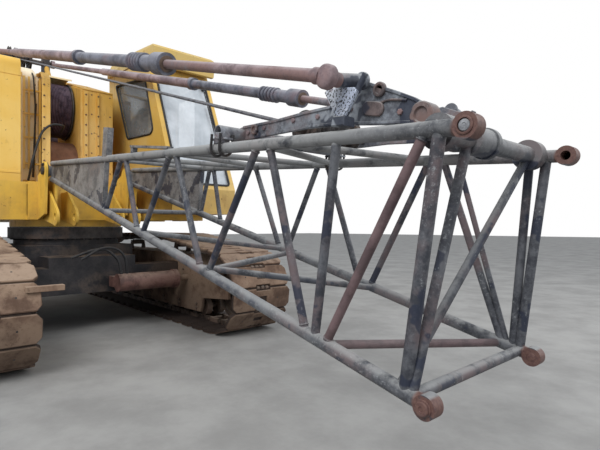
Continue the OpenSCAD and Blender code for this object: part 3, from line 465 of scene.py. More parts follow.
class Finish(Enum):
    """The crane's finishes: the repaint slot, the coat, and the CAD nodes that wear it."""

    def __init__(self, slot: str, coat: Any, *nodes: str) -> None:
        """Keeps the three parts of the finish under their own names."""
        self.slot, self.coat, self.nodes = slot, coat, nodes

    YELLOW = (
        "yellow_paint", Paint("yellow_machine_paint", (0.80, 0.49, 0.085), (0.86, 0.58, 0.16)),
        "house_right", "house_door_front", "house_door_rear", "house_left", "counterweight")
    YELLOW_LOW = (
        "yellow_paint", Paint("yellow_frame_paint", (0.76, 0.48, 0.070), (0.82, 0.56, 0.12),
                              streaks=0.5, chips=0.03, gloss=0.42),
        "revolving_frame", "side_deck_right", "side_deck_left", "foot_brackets")
    YELLOW_BAY = (
        "yellow_paint", Paint("yellow_bay_paint", (0.68, 0.39, 0.07), (0.76, 0.49, 0.15),
                              streaks=0.6, chips=0.012, gloss=0.45),
        "drum_stand")
    # weathered pale paint, its colours raised near white as painted light, so that the case's face, shaded in the bay,
    # looks lit
    PALE = (
        "yellow_paint", Paint("weathered_case_paint", (0.98, 0.80, 0.46), (0.96, 0.86, 0.66), (0.62, 0.36, 0.20),
                              streaks=0.45, chips=0.010, gloss=0.5),
        "drum_guards")
    YELLOW_CAB = (
        "yellow_paint", Paint("yellow_cab_paint", (0.66, 0.41, 0.085), (0.68, 0.48, 0.17), streaks=0.45, chips=0.02),
        "cab_shell", "cab_door")
    YELLOW_ROOF = (
        "yellow_paint", Paint("faded_roof_paint", (0.64, 0.43, 0.11), (0.60, 0.45, 0.18),
                              streaks=0.5, chips=0.02, gloss=0.5),
        "cab_roof")
    TUBES = (
        "boom_grey", TubePaint("boom_blue_grey", chord_light=0.60, brown_share=0.8, brown_lines=(
            ((4.425, -0.426, -0.446), (4.770, 0.454, -0.446)), ((4.430, -0.427, -0.446), (4.770, -0.454, 0.446)))),
        "boom_chords", "boom_side_lacing", "boom_cross_lacing", "boom_tip_frame")
    PLATES = (
        "boom_grey", TubePaint("boom_plate_grey", (0.080, 0.082, 0.088), (0.225, 0.22, 0.222),
                               brown=(0.16, 0.115, 0.095), brown_share=0.55),
        "boom_foot_plates")
    BOSSES = (
        "rusty_steel", TubePaint("worn_boss_brown", (0.085, 0.068, 0.070), (0.21, 0.165, 0.16),
                                 brown=(0.17, 0.10, 0.085), brown_share=1.5))
    ARMS = (
        "dark_steel", TubePaint("bridle_grey", (0.085, 0.090, 0.108), (0.27, 0.295, 0.33),
                                brown=(0.15, 0.085, 0.075), brown_share=0.9),
        "bridle")
    SPECKLED = "dark_steel", Speckled(), "strut_brackets"
    STRUT = (
        "rusty_steel", Rust("strut_mauve_rust", (0.155, 0.105, 0.115), (0.34, 0.26, 0.27), (0.24, 0.135, 0.12),
                            0.4, 6.0, 0.65, 0.0, dust=0.25, dust_colour=(0.42, 0.37, 0.38)),
        "backstop_rod_left", "backstop_rod_right")
    STRUT_GREY = (
        "rusty_steel", Rust("strut_blue_grey", (0.060, 0.063, 0.085), (0.17, 0.175, 0.215), (0.15, 0.105, 0.12),
                            0.35, 7.0, 0.55, 0.0, dust=0.50, dust_colour=(0.40, 0.41, 0.44),
                            rear=(1.125, (0.16, 0.10, 0.105), (0.36, 0.26, 0.27))),
        "backstop_tube_left", "backstop_tube_right")
    ROD = (
        "rusty_steel", Rust("strut_red_brown", (0.120, 0.080, 0.088), (0.28, 0.205, 0.215), (0.21, 0.120, 0.110),
                            0.45, 8.0, 0.62, 0.0, dust=0.50, dust_colour=(0.48, 0.42, 0.43),
                            rear=(3.10, (0.085, 0.080, 0.098), (0.24, 0.235, 0.26))),
        "backstop_eye_left", "backstop_eye_right")
    # darkened towards the bottom, with painted shade in the shoes' gaps
    TRACK = (
        "track_steel", Rust("track_dusty_rust", (0.110, 0.062, 0.040), (0.255, 0.160, 0.108), (0.32, 0.222, 0.152),
                            0.45, 4.0, 0.85, 0.1, dust=0.45, dust_colour=(0.42, 0.32, 0.24), low_dark_and_gap_shade=1.0),
        "track_left", "track_right", "crawler_frame_left", "crawler_frame_right")
    BRIGHT = (
        "dark_steel", Rust("worn_pin_steel", (0.16, 0.165, 0.18), (0.36, 0.37, 0.39), (0.26, 0.22, 0.21),
                           0.35, 30.0, 0.5, 0.2, 0.001, 0.1))
    LINKS = (
        "dark_steel", Rust("track_greasy_links", (0.040, 0.028, 0.022), (0.11, 0.075, 0.055), (0.15, 0.10, 0.075),
                           0.4, 8.0, 0.7, 0.1),
        "track_rollers_left", "track_rollers_right", "idler_left", "idler_right",
        "drive_wheel_left", "drive_wheel_right")
    DARK = (
        "dark_steel", Rust("dull_dark_steel", (0.022, 0.02, 0.022), (0.06, 0.055, 0.055), (0.09, 0.06, 0.045),
                           0.3, 7.0, 0.6, dust=0.25),
        "slew_ring", "head_sheaves", "bridle_sheaves", "cab_step", "control_stand", "engine", "a_frame_head")
    GRIME = (
        "grimy_black", Rust("greasy_black_grime", (0.007, 0.007, 0.010), (0.030, 0.026, 0.028),
                            (0.075, 0.055, 0.043), 0.42, 5.0, 0.55, 0.0, dust=0.45,
                            dust_colour=(0.22, 0.165, 0.125)),
        "carbody")
    PRIMER = (
        "primer_red", Rust("faded_red_primer", (0.075, 0.036, 0.030), (0.17, 0.085, 0.070), (0.22, 0.125, 0.10),
                           0.4, 8.0, 0.6, 0.0),
        "gauge_cylinder_left", "gauge_cylinder_right")
    PAN = (
        "rusty_steel", Rust("rusted_pan_brown", (0.13, 0.058, 0.034), (0.26, 0.125, 0.070), (0.20, 0.085, 0.045),
                            0.5, 3.0, 0.7, 0.0, dust=0.3, dust_colour=(0.34, 0.21, 0.15)),
        "drum_pan")
    ROPE = (
        "rope_brown", Rust("greased_rope_purple", (0.042, 0.026, 0.044), (0.115, 0.075, 0.112), (0.13, 0.09, 0.12),
                           0.4, 14.0, 0.5, 0.1, 0.001, 0.1),
        "hoist_drum_front", "hoist_drum_rear")
    WIRE = (
        "wire_rope", Rust("greased_wire_rope", (0.035, 0.038, 0.050), (0.13, 0.14, 0.17), (0.09, 0.085, 0.095),
                          0.4, 25.0, 0.45, 0.3, 0.001, 0.15),
        "hoist_ropes_rear", "hoist_ropes_front")
    RUBBER = (
        "grimy_black", Rust("black_window_rubber", (0.008, 0.008, 0.010), (0.018, 0.018, 0.020),
                            (0.03, 0.027, 0.026), 0.3, 9.0, 0.5, 0.0, 0.0006, 0.08))
    VINYL = (
        "black_vinyl", Rust("black_seat_vinyl", (0.012, 0.012, 0.012), (0.025, 0.025, 0.026), (0.05, 0.045, 0.04),
                            0.3, 9.0, 0.5, 0.0, 0.0006),
        "operator_seat")
    GLASS = "window_glass", Glass(), "cab_glass"
    RED_LAMP = "primer_red", Lamp("red_lamp_plastic", (0.42, 0.02, 0.015))


# ---------------------------------------------------------------- numpy meshes

class Form:
    """A surface worked out in numpy: points in metres and faces as index arrays by corner count."""

    def __init__(self, points: np.ndarray, faces: Sequence[np.ndarray]) -> None:
        """Keeps an N by 3 array of points, and arrays of vertex numbers with one row a face."""
        self.points = np.asarray(points, float).reshape(-1, 3)
        self.faces = [np.asarray(rows, int) for rows in faces if len(rows)]

    @staticmethod
    def joined(forms: Sequence["Form"]) -> "Form":
        """One form of several, face numbers shifted by the points before them.

        Args:
            forms: the forms.

        Returns:
            The one form.
        """
        starts = np.cumsum([0] + [len(f.points) for f in forms])
        faces = [rows + start for f, start in zip(forms, starts) for rows in f.faces]
        return Form(np.concatenate([f.points for f in forms]), faces)

    @staticmethod
    def grid(points: np.ndarray, wrap_u: bool = False, wrap_v: bool = True) -> "Form":
        """A sheet of quads over an m by n array of points, its first and last row closed when only v wraps.

        Args:
            points: m by n by 3 array.
            wrap_u: the last row joins the first.
            wrap_v: the last column joins the first.

        Returns:
            The sheet.
        """
        rows, cols = points.shape[:2]
        number = np.arange(rows * cols).reshape(rows, cols)
        a = number if wrap_u else number[:-1]
        b = np.roll(number, -1, 0) if wrap_u else number[1:]
        c, d = (np.roll(a, -1, 1), np.roll(b, -1, 1)) if wrap_v else (a[:, 1:], b[:, 1:])
        if not wrap_v:
            a, b = a[:, :-1], b[:, :-1]
        faces = [np.stack([a, c, d, b], -1).reshape(-1, 4)]
        if wrap_v and not wrap_u:
            faces += [number[:1, ::-1], number[-1:]]
        return Form(points.reshape(-1, 3), faces)

    @staticmethod
    def tube(path: Points, radius: float, sides: int = 12, closed: bool = False, up: Any = Z) -> "Form":
        """A circle carried along a path: point + r (cos t side + sin t lift), side = tangent x up.

        Args:
            path: the centre line.
            radius: the circle's radius.
            sides: corners of the circle.
            closed: the path's end meets its start.
            up: a direction that the path never follows.

        Returns:
            The tube, ends closed.
        """
        centre = np.asarray(path, float)
        wrapped = np.roll(centre, -1, 0) - np.roll(centre, 1, 0)
        tangent = unit(wrapped if closed else np.gradient(centre, axis=0))
        side = unit(np.cross(tangent, np.asarray(up, float)))
        lift = np.cross(side, tangent)
        turn = around(sides)
        ring = side[:, None] * np.cos(turn)[None, :, None] + lift[:, None] * np.sin(turn)[None, :, None]
        return Form.grid(centre[:, None] + radius * ring, wrap_u=closed)

    @staticmethod
    def lathe(profile: Points, start: Sequence[float], axis: Sequence[float], sides: int = 32) -> "Form":
        """A profile of (distance along the axis, radius) turned about the axis.

        Args:
            profile: its points.
            start: where the axis starts.
            axis: its direction.
            sides: steps round it.

        Returns:
            The turned form, ends closed.
        """
        line = np.asarray(profile, float)
        along = unit(np.asarray(axis, float))
        side = unit(np.cross(along, Z if abs(along[2]) < 0.9 else X))
        turn = around(sides)
        ring = np.cos(turn)[:, None] * side + np.sin(turn)[:, None] * np.cross(side, along)
        return Form.grid(np.asarray(start, float) + line[:, :1, None] * along + line[:, 1, None, None] * ring[None])

    @staticmethod
    def slab(outline: Points, low: float, high: float, rim: float = 0.0, base: Any = (X, Z, Y)) -> "Form":
        """A flat outline given thickness, its edges bevelled: offset by the rim where it nears both faces.

        Args:
            outline: corners (a, b), in turn.
            low: first face along the third direction.
            high: last face.
            rim: width of the bevel.
            base: directions of a, of b and of the thickness.

        Returns:
            The closed slab.
        """
        flat, base = np.asarray(outline, float), np.asarray(base, float)
        before, after = unit(flat - np.roll(flat, 1, 0)), unit(np.roll(flat, -1, 0) - flat)
        way = np.sign((flat[:, 0] * np.roll(flat[:, 1], -1) - np.roll(flat[:, 0], -1) * flat[:, 1]).sum())
        summed = before + after
        normal = np.stack([summed[:, 1], -summed[:, 0]], 1)
        inward = -way * rim * normal / (1.0 + (before * after).sum(1, keepdims=True))
        levels = [(low, 1), (low + rim, 0), (high - rim, 0), (high, 1)] if rim else [(low, 0), (high, 0)]
        rows = np.stack([(flat + inward * k) @ base[:2] + level * base[2] for level, k in levels])
        handed = way * float(np.dot(np.cross(base[0], base[1]), base[2]))
        return Form.grid(rows if handed > 0 else rows[:, ::-1])

    @staticmethod
    def box(low: Sequence[float], high: Sequence[float], rim: float = 0.0) -> "Form":
        """A block between two corners, bevelled by the rim."""
        (x0, y0, z0), (x1, y1, z1) = low, high
        return Form.slab([(x0, y0), (x1, y0), (x1, y1), (x0, y1)], z0, z1, rim, (X, Y, Z))

    def placed(self, places: Any, turns: np.ndarray | None = None) -> "Form":
        """Copies of the form, each turned by a 3 by 3 matrix and moved: R p + t, as one array product.

        Args:
            places: K by 3 array.
            turns: K by 3 by 3 array, or None for no turn.

        Returns:
            All the copies as one form.
        """
        turned = self.points[None] if turns is None else np.einsum("kij,nj->kni", turns, self.points)
        points = turned + np.asarray(places, float)[:, None]
        shift = (np.arange(len(points)) * len(self.points))[:, None, None]
        return Form(points, [(rows[None] + shift).reshape(-1, rows.shape[1]) for rows in self.faces])

    def mesh(self, name: str, smooth_below: float = 34.0) -> bpy.types.Mesh:
        """Fills a mesh from the arrays.

        Args:
            name: the mesh's name.
            smooth_below: edges flatter than this angle, in degrees, shade smooth.

        Returns:
            The mesh.
        """
        made = bpy.data.meshes.new(name)
        made.vertices.add(len(self.points))
        made.vertices.foreach_set("co", self.points.ravel())
        corners = np.concatenate([rows.ravel() for rows in self.faces])
        counts = np.concatenate([np.full(len(rows), rows.shape[1]) for rows in self.faces])
        made.loops.add(len(corners))
        made.loops.foreach_set("vertex_index", corners)
        made.polygons.add(len(counts))
        made.polygons.foreach_set("loop_start", np.concatenate([[0], np.cumsum(counts)[:-1]]))
        made.update(calc_edges=True)
        made.validate()
        made.shade_smooth()
        made.set_sharp_from_angle(angle=math.radians(smooth_below))
        return made


# ---------------------------------------------------------------- shared small shapes

def unit(v: np.ndarray) -> np.ndarray:
    """Each row, or the one vector, at length 1."""
    return v / np.linalg.norm(v, axis=-1, keepdims=True)


def around(count: int) -> np.ndarray:
    """Angles in equal steps round a full turn."""
    return np.linspace(0.0, 2.0 * np.pi, count, endpoint=False)


def spots(x: Any, y: Any, z: Any) -> np.ndarray:
    """The points that the three coordinates broadcast to, as one N by 3 array."""
    spread = np.broadcast_arrays(*(np.asarray(v, float) for v in (x, y, z)))
    return np.stack(spread, -1).reshape(-1, 3)


def rounded(corners: Points, bend: float, steps: int = 5, closed: bool = False) -> np.ndarray:
    """A path with eased corners: each P becomes (1-t)^2 A + 2t(1-t) P + t^2 B, with A and B a bend away from P.

    Args:
        corners: the path's corners.
        bend: distance from a corner at which it starts to turn.
        steps: points in each corner.
        closed: the last corner leads back to the first.

    Returns:
        The eased path.
    """
    point = np.asarray(corners, float)
    before, after = np.roll(point, 1, 0) - point, np.roll(point, -1, 0) - point
    start = point + before * np.minimum(0.45, bend / np.linalg.norm(before, axis=1, keepdims=True))
    end = point + after * np.minimum(0.45, bend / np.linalg.norm(after, axis=1, keepdims=True))
    t = np.linspace(0.0, 1.0, steps)[None, :, None]
    eased = (1 - t) ** 2 * start[:, None] + 2 * t * (1 - t) * point[:, None] + t ** 2 * end[:, None]
    if closed:
        return eased.reshape(-1, 3)
    return np.concatenate([point[:1], eased[1:-1].reshape(-1, 3), point[-1:]])


def pipe(corners: Points, radius: float, bend: float = 0.06, up: Any = Z, sides: int = 10) -> Form:
    """A round bar that follows corners, eased at each."""
    return Form.tube(rounded(corners, bend), radius, sides, up=up)


def rail(start: Sequence[float], end: Sequence[float], out: Sequence[float], radius: float, bend: float,
         up: Any) -> Form:
    """A bent bar that stands off a wall between two places: start, start + out, end + out, end."""
    a, b, away = (np.asarray(v, float) for v in (start, end, out))
    return pipe([a, a + away, b + away, b], radius, bend, up)


def seal(corners: Points, radius: float, up: Any = Y) -> Form:
    """A rubber seal round an opening: a circle carried along its eased outline."""
    return Form.tube(rounded(corners, 0.05, closed=True), radius, 8, closed=True, up=up)


def bolts(places: Points, axis: Sequence[float], size: float, height: float) -> Form:
    """Hexagon heads with a chamfered top: a six-sided profile (0, r), (0.7 h, r), (h, 0.8 r) at each place."""
    head = Form.lathe([(0.0, size), (height * 0.7, size), (height, size * 0.8)], (0, 0, 0), axis, 6)
    return head.placed(places)


def bolt_circle(centre: Sequence[float], axis: Sequence[float], radius: float, count: int, size: float,
                height: float, start: float = 0.0) -> Form:
    """Bolt heads round a circle: centre + r (cos t x + sin t w), w being z, or y about an upright axis.

    Args:
        centre: the circle's middle.
        axis: which way the heads face, across or upright.
        radius: the circle's radius.
        count: how many heads.
        size: a head's radius.
        height: a head's height.
        start: the first head's angle.

    Returns:
        The heads.
    """
    t = around(count) + start
    places = np.tile(np.asarray(centre, float), (count, 1))
    places[:, 0] += radius * np.cos(t)
    places[:, 2 if axis[1] else 1] += radius * np.sin(t)
    return bolts(places, axis, size, height)


def in_boom(along: Any, above: Any, y: Any) -> np.ndarray:
    """Crane points from places along, above and across the boom: foot + s (cos, -sin) + h (sin, cos).

    Args:
        along: distances from the foot pin.
        above: heights over the boom's axis.
        y: places across.

    Returns:
        Points, in the shape that the three broadcast to.
    """
    c, n = math.cos(BOOM_DOWN), math.sin(BOOM_DOWN)
    s, h, across = np.broadcast_arrays(*(np.asarray(v, float) for v in (along, above, y)))
    return np.stack([FOOT_PIN[0] + s * c + h * n, across, FOOT_PIN[1] - s * n + h * c], -1)


def boom_slab(outline: Points, low: float, high: float, rim: float = 0.003) -> Form:
    """An outline of (along, above) in the boom's side plane, given thickness across it."""
    start, along, above = in_boom([0.0, 1.0, 0.0], [0.0, 0.0, 1.0], 0.0)
    return Form.slab(outline, low, high, rim, (along - start, above - start, Y)).placed([start])


# ---------------------------------------------------------------- workshop

@dataclass
class Piece:
    """One new piece, given in the crane's own metres, with the CAD body it rides on and the nodes it stands for.

    The last field says how deep in painted shade each of the first points is, 0 to 1: shade painted into the gaps and
    hollows.
    """

    name: str
    forms: Sequence[Form]
    finish: Finish
    body: str
    replaces: tuple[str, ...] = ()
    grime: np.ndarray | None = None


class Workshop:
    """Holds the finished materials and puts them on CAD nodes and new pieces."""

    def __init__(self) -> None:
        """Starts with no material made."""
        self.made: dict[Finish, bpy.types.Material] = {}

    def paint(self, thing: bpy.types.Object, finish: Finish) -> None:
        """Gives an object one finish and no other, and makes the material at its first use.

        Args:
            thing: the object.
            finish: its finish.
        """
        if finish not in self.made:
            self.made[finish] = finish.coat.make()
        thing.data.materials.clear()
        thing.data.materials.append(self.made[finish])

    def dress_nodes(self) -> None:
        """Gives each CAD node its finish, and the A-frame's legs the bay's yellow."""
        for finish in Finish:
            for name in finish.nodes:
                self.paint(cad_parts[name], finish)
                LOG.info("node %s: %s", name, finish.coat.name)
        self.paint(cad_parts["a_frame_legs"], Finish.YELLOW_BAY)

    def add(self, piece: Piece) -> None:
        """Makes a piece.

        Args:
            piece: what to make.
        """
        mesh = Form.joined(piece.forms).placed([(SHIFT_X, 0.0, 0.0)]).mesh(piece.name)
        thing = bpy.data.objects.new(piece.name, mesh)
        bpy.context.scene.collection.objects.link(thing)
        # painted shade for the gaps, kept on the mesh's points for the track's material
        if piece.grime is not None:
            held = mesh.attributes.new("grime", "FLOAT", "POINT")
            held.data.foreach_set("value", np.pad(piece.grime, (0, len(mesh.vertices) - len(piece.grime))))
        self.paint(thing, piece.finish)
        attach(thing, piece.body)
        if piece.replaces:
            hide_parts(*piece.replaces)
        LOG.info("piece %s: %d faces on %s", piece.name, len(mesh.polygons), piece.body)


class Assembly:
    """A sub-assembly: each kind says in pieces what it is made of."""

    def pieces(self) -> list[Piece]:
        """The assembly's pieces, in the order in which they are made."""
        raise NotImplementedError

    def build(self, shop: Workshop) -> None:
        """Makes and dresses every piece."""
        for piece in self.pieces():
            shop.add(piece)


class Side(float, Enum):
    """One side of the crane, as its sign across."""

    LEFT = 1.0
    RIGHT = -1.0

    @property
    def label(self) -> str:
        """The side's name in pieces, nodes and bodies."""
        return self.name.lower()


# ---------------------------------------------------------------- crawlers

@dataclass
class TrackLoop(Assembly):
    """One crawler chain: stepped shoes with recesses, hinge knuckles and bolt holes, on two rows of links.

    A stop is a wheel or a row of carrier rollers: its x, its z and what its radius lacks of the drive wheel's.
    """

    side: Side
    gauge: float = 2.54
    half_base: float = 2.16
    wheel_z: float = 0.522
    link_r: float = 0.494
    idler_less: float = 0.060
    carrier: Triple = (0.76, 0.962, 0.372)
    count: int = 46
    pin_r: float = 0.452
    plate_low: float = 0.025
    plate_top: float = 0.0692
    half_w: float = 0.380
    bevel: float = 0.007
    recess: float = 0.015
    # depth below the shoe's top over which the painted shade in the gaps grows to full
    gap_shade_depth: float = 0.030
    across: tuple[float, ...] = (-0.380, -0.374, -0.338, -0.100, -0.094, -0.058, -0.050,
                                 0.050, 0.058, 0.094, 0.100, 0.338, 0.374, 0.380)
    reach: tuple[float, ...] = (0.072, 0.079, 0.119, 0.119, 0.098, 0.098, 0.098,
                                0.098, 0.098, 0.098, 0.119, 0.119, 0.079, 0.072)
    share: tuple[float, ...] = (-1.0, -0.94, -0.36, -0.30, 0.30, 0.36, 0.94, 1.0)
    lip: Points = ((0.105, 0.129), (-0.300, 0.300), (0.025, 0.052))
    heel: Points = ((-0.126, -0.112), (0.105, 0.330), (0.027, 0.046))
    link_y: float = 0.098
    link_half: float = 0.017
    knuckle_step: float = 0.060
    hole_y: float = 0.205

    def __post_init__(self) -> None:
        """Works out the chain's stops, where it leaves each, the straights between them and its whole length."""
        x, z, less = self.carrier
        self.stop = np.array([[self.half_base, self.wheel_z - self.idler_less, self.idler_less], [x, z, less],
                              [-x, z, less], [-self.half_base, self.wheel_z, 0.0]])
        self.run = np.roll(self.stop, -1, 0) - self.stop
        apart = np.hypot(self.run[:, 0], self.run[:, 1])
        heading = np.arctan2(self.run[:, 1], self.run[:, 0]) % (2 * np.pi)
        self.leave = heading - np.arccos(self.run[:, 2] / apart)
        self.straight = np.sqrt(apart ** 2 - self.run[:, 2] ** 2)
        self.bend = self.link_r - self.stop[:, 2]
        turn = self.leave - np.concatenate([self.leave[-1:] - 2 * np.pi, self.leave[:-1]])
        self.ends = np.cumsum(self.bend * turn + self.straight)
        self.length = float(self.ends[-1])

    def path(self, s: np.ndarray, radius: float) -> np.ndarray:
        """Points (x, z) along the chain: centre + r (cos a, sin a) on a turn, centre and lack in proportion after it.

        Args:
            s: distances from the bottom of the idler.
            radius: distance outward on the drive wheel; each stop lacks its own amount.

        Returns:
            N by 2 array.
        """
        part = np.minimum(np.searchsorted(self.ends, s, side="right"), 3)
        beyond = s - (self.ends - self.straight)[part]
        share = np.maximum(beyond, 0.0) / self.straight[part]
        angle = self.leave[part] + np.minimum(beyond, 0.0) / self.bend[part]
        at = self.stop[part] + self.run[part] * share[:, None]
        return at[:, :2] + (radius - at[:, 2:]) * np.stack([np.cos(angle), np.sin(angle)], 1)

    def frames(self) -> tuple[np.ndarray, np.ndarray]:
        """Where the shoes are.

        Returns:
            Each shoe's turn, with columns along, across and outward, and its place between two pins.
        """
        pins = self.path(np.arange(self.count) * self.length / self.count, self.pin_r)
        after = np.roll(pins, -1, 0)
        along, middle = unit(after - pins), (pins + after) / 2
        u = spots(along[:, 0], 0.0, along[:, 1])
        n = spots(along[:, 1], 0.0, -along[:, 0])
        place = spots(middle[:, 0], self.side * self.gauge / 2, middle[:, 1])
        return np.stack([u, np.cross(n, u), n], 2), place

    def plate(self) -> Form:
        """A shoe plate: heights over a grid, less the rim's bevel and the recess, closed by a skirt and an underside.

        Returns:
            The plate.
        """
        across, share = np.array(self.across)[:, None], np.array(self.share)
        top = np.full((len(self.across), len(share)), self.plate_top)
        top[:, [0, -1]] -= self.bevel
        top[[0, -1], :] -= self.bevel
        top[6:8, 3:5] -= self.recess
        points = spots(np.array(self.reach)[:, None] * share, across, top)
        number = np.arange(len(points)).reshape(top.shape)
        rim = np.concatenate([number[0], number[1:, -1], number[-1, -2::-1], number[-2:0:-1, 0]])
        under = points[rim] * (1, 1, 0) + (0, 0, self.plate_low)
        low = len(points) + np.arange(len(rim))
        skirt = np.stack([low, np.roll(low, -1), np.roll(rim, -1), rim], 1)
        sheet = Form.grid(points.reshape(*top.shape, 3), wrap_v=False).faces[0]
        return Form(np.concatenate([points, under]), [sheet, skirt, low[None, ::-1]])

    def shoe(self) -> Form:
        """One shoe: the plate, the lip that reaches under the next one, and a shallow grouser at its far edge.

        Returns:
            The shoe, its pin line at the origin.
        """
        (x0, x1), (y0, y1), (z0, z1) = self.heel
        heels = [Form.box((x0, low, z0), (x1, high, z1), 0.002) for low, high in ((-y1, -y0), (y0, y1))]
        return Form.joined([self.plate(), Form.box(*zip(*self.lip), 0.003), *heels])

    def knuckles(self) -> Form:
        """Three hinge barrels over one pin, turned about it.

        Returns:
            The barrels, placed like a shoe.
        """
        profile = [(0, 0.017), (0.004, 0.022), (0.040, 0.022), (0.044, 0.017)]
        barrel = Form.lathe(profile, (-0.1235, -0.022, 0.032), Y, 10)
        return barrel.placed(spots(0.0, np.array([-1.0, 0.0, 1.0]) * self.knuckle_step, 0.0))

    def links(self) -> Form:
        """A pair of dog-bone links from pin to pin with the pins' collars.

        Returns:
            The links, placed like a shoe.
        """
        half = self.length / self.count / 2
        end = [(0.03, -0.024), (half - 0.035, -0.031), (half + 0.018, -0.031), (half + 0.030, -0.018),
               (half + 0.030, 0.016), (half + 0.016, 0.026)]
        bone = end + [(-x, z) for x, z in reversed(end)]
        pair = [Form.slab(bone, y - self.link_half, y + self.link_half, 0.003) for y in (-self.link_y, self.link_y)]
        collar = [(0, 0.016), (0.004, 0.020), (0.242, 0.020), (0.246, 0.016)]
        return Form.joined([*pair, Form.lathe(collar, (-half, -0.123, 0.0), Y, 10)])

    def holes(self) -> Form:
        """Bolt holes as thin black dimples on the plate, their black painted shade standing in for a hole's depth:
        rings (0, r), (0.6 mm, r).
        """
        dimple = Form.lathe([(0.0, 0.0085), (0.0006, 0.0085)], (0, 0, self.plate_top), Z, 8)
        return dimple.placed(spots(0.0, (-self.hole_y, self.hole_y), 0.0))

    def caught_bar(self) -> Form:
        """The bent flat bar caught on the front of the right-hand chain."""
        y = self.side * self.gauge / 2 + self.half_w
        return Form.box((2.515, y - 0.110, 0.690), (2.577, y + 0.165, 0.736), 0.003)

    def pieces(self) -> list[Piece]:
        """The shoes with painted shade in their gaps, the links with the hinge barrels, and the bolt holes.

        Returns:
            The pieces, in the order in which they are made.
        """
        name, body = self.side.label, f"crawler_{self.side.label}"
        turns, places = self.frames()
        one = self.shoe()
        shoes = [one.placed(places, turns)]
        # painted shade: the lower a point lies below the shoe's top, the darker it is painted, standing in for shade
        # in the gaps between shoes
        grime = np.tile(np.clip((self.plate_top - one.points[:, 2]) / self.gap_shade_depth, 0.0, 1.0), self.count)
        if self.side is Side.RIGHT:
            shoes.append(self.caught_bar())
        chain = [self.links().placed(places, turns), self.knuckles().placed(places, turns)]
        # the holes are black discs: painted shade where a hole would be dark inside
        return [Piece(f"track_shoes_{name}", shoes, Finish.TRACK, body, (f"track_{name}",), grime),
                Piece(f"track_links_{name}", chain, Finish.LINKS, body),
                Piece(f"track_shoe_holes_{name}", [self.holes().placed(places, turns)], Finish.RUBBER, body)]


@dataclass
class CrawlerTrim(Assembly):
    """Bolts on both faces of one crawler's side frame and round its drive motor's cover."""

    side: Side
    frame_y: float = 1.27
    half_w: float = 0.22
    half_row: float = 1.55
    low_rows: tuple[float, float] = (0.206, 0.256)
    top_row: float = 0.66
    motor: tuple[float, float] = (-2.16, 0.522)
    motor_out: float = 0.090
    motor_r: float = 0.128

    def pieces(self) -> list[Piece]:
        """The bolts, in one piece.

        Returns:
            That piece.
        """
        x = np.linspace(-self.half_row, self.half_row, 8)
        forms = []
        for way in BOTH:
            y, axis = self.side * (self.frame_y + way * self.half_w), (0.0, self.side * way, 0.0)
            forms.append(bolts(spots(x, y, np.array(self.low_rows)[:, None]), axis, 0.017, 0.016))
            forms.append(bolts(spots(x[::2] + 0.1, y, self.top_row), axis, 0.015, 0.012))
        cover = (self.motor[0], self.side * (self.frame_y - self.half_w - self.motor_out), self.motor[1])
        forms.append(bolt_circle(cover, (0, -self.side, 0), self.motor_r, 12, 0.011, 0.010))
        return [Piece(f"crawler_bolts_{self.side.label}", forms, Finish.LINKS, f"crawler_{self.side.label}")]


# ---------------------------------------------------------------- carbody

@dataclass
class CarbodyTrim(Assembly):
    """Fixed pipes over the gauge cylinders with their fittings, the carbody's bolts and the slewing ring's seal."""

    pipe_r: float = 0.015
    ring_r: float = 0.640
    ring_z: float = 1.060
    near: Points = ((1.24, -0.20, 0.84), (1.27, -0.02, 0.955), (1.30, 0.10, 0.972), (1.31, 0.20, 0.93),
                    (1.31, 0.262, 0.84), (1.31, 0.278, 0.66))
    far: Points = ((1.22, -0.30, 0.86), (1.25, -0.08, 0.945), (1.28, 0.05, 0.950), (1.29, 0.135, 0.88),
                   (1.29, 0.195, 0.80), (1.30, 0.212, 0.66))
    fitting: Points = ((0, 0.020), (0.022, 0.020), (0.026, 0.016), (0.045, 0.016))
    cylinder: Triple = (1.30, 0.9, 0.56)
    cylinder_r: float = 0.088
    gap: Points = ((1.2003, 0.560), (1.2003, 0.655), (1.2025, 0.657), (1.2047, 0.655), (1.2047, 0.560))

    def pipes(self) -> list[Form]:
        """Both pipes with their fittings, and the same turned half round to the carbody's rear.

        Returns:
            The pipes and fittings, front and rear.
        """
        lines = [pipe(run, self.pipe_r, 0.07) for run in (self.near, self.far)]
        lines += [Form.lathe(self.fitting, (1.305, run[-1][1], 0.655), Z, 6) for run in (self.near, self.far)]
        return lines + [Form(line.points * (-1.0, -1.0, 1.0), line.faces) for line in lines]

    def pieces(self) -> list[Piece]:
        """Pipes, bolts and seal.

        Returns:
            The pieces, in the order in which they are made.
        """
        x, y, z = self.cylinder
        heads = [bolt_circle((0, 0, self.ring_z), (0, 0, -1), self.ring_r, 40, 0.016, 0.016)]
        heads += [bolt_circle((way * x, way * y, z), (0, way, 0), self.cylinder_r, 6, 0.010, 0.010) for way in BOTH]
        seal_ring = Form.lathe(self.gap, (0, 0, 0), Z, 96)
        return [Piece("carbody_pipes", self.pipes(), Finish.RUBBER, "carbody"),
                Piece("carbody_bolts", heads, Finish.DARK, "carbody"),
                Piece("slewing_ring_seal", [seal_ring], Finish.RUBBER, "carbody")]


# ---------------------------------------------------------------- machinery house and drum bay

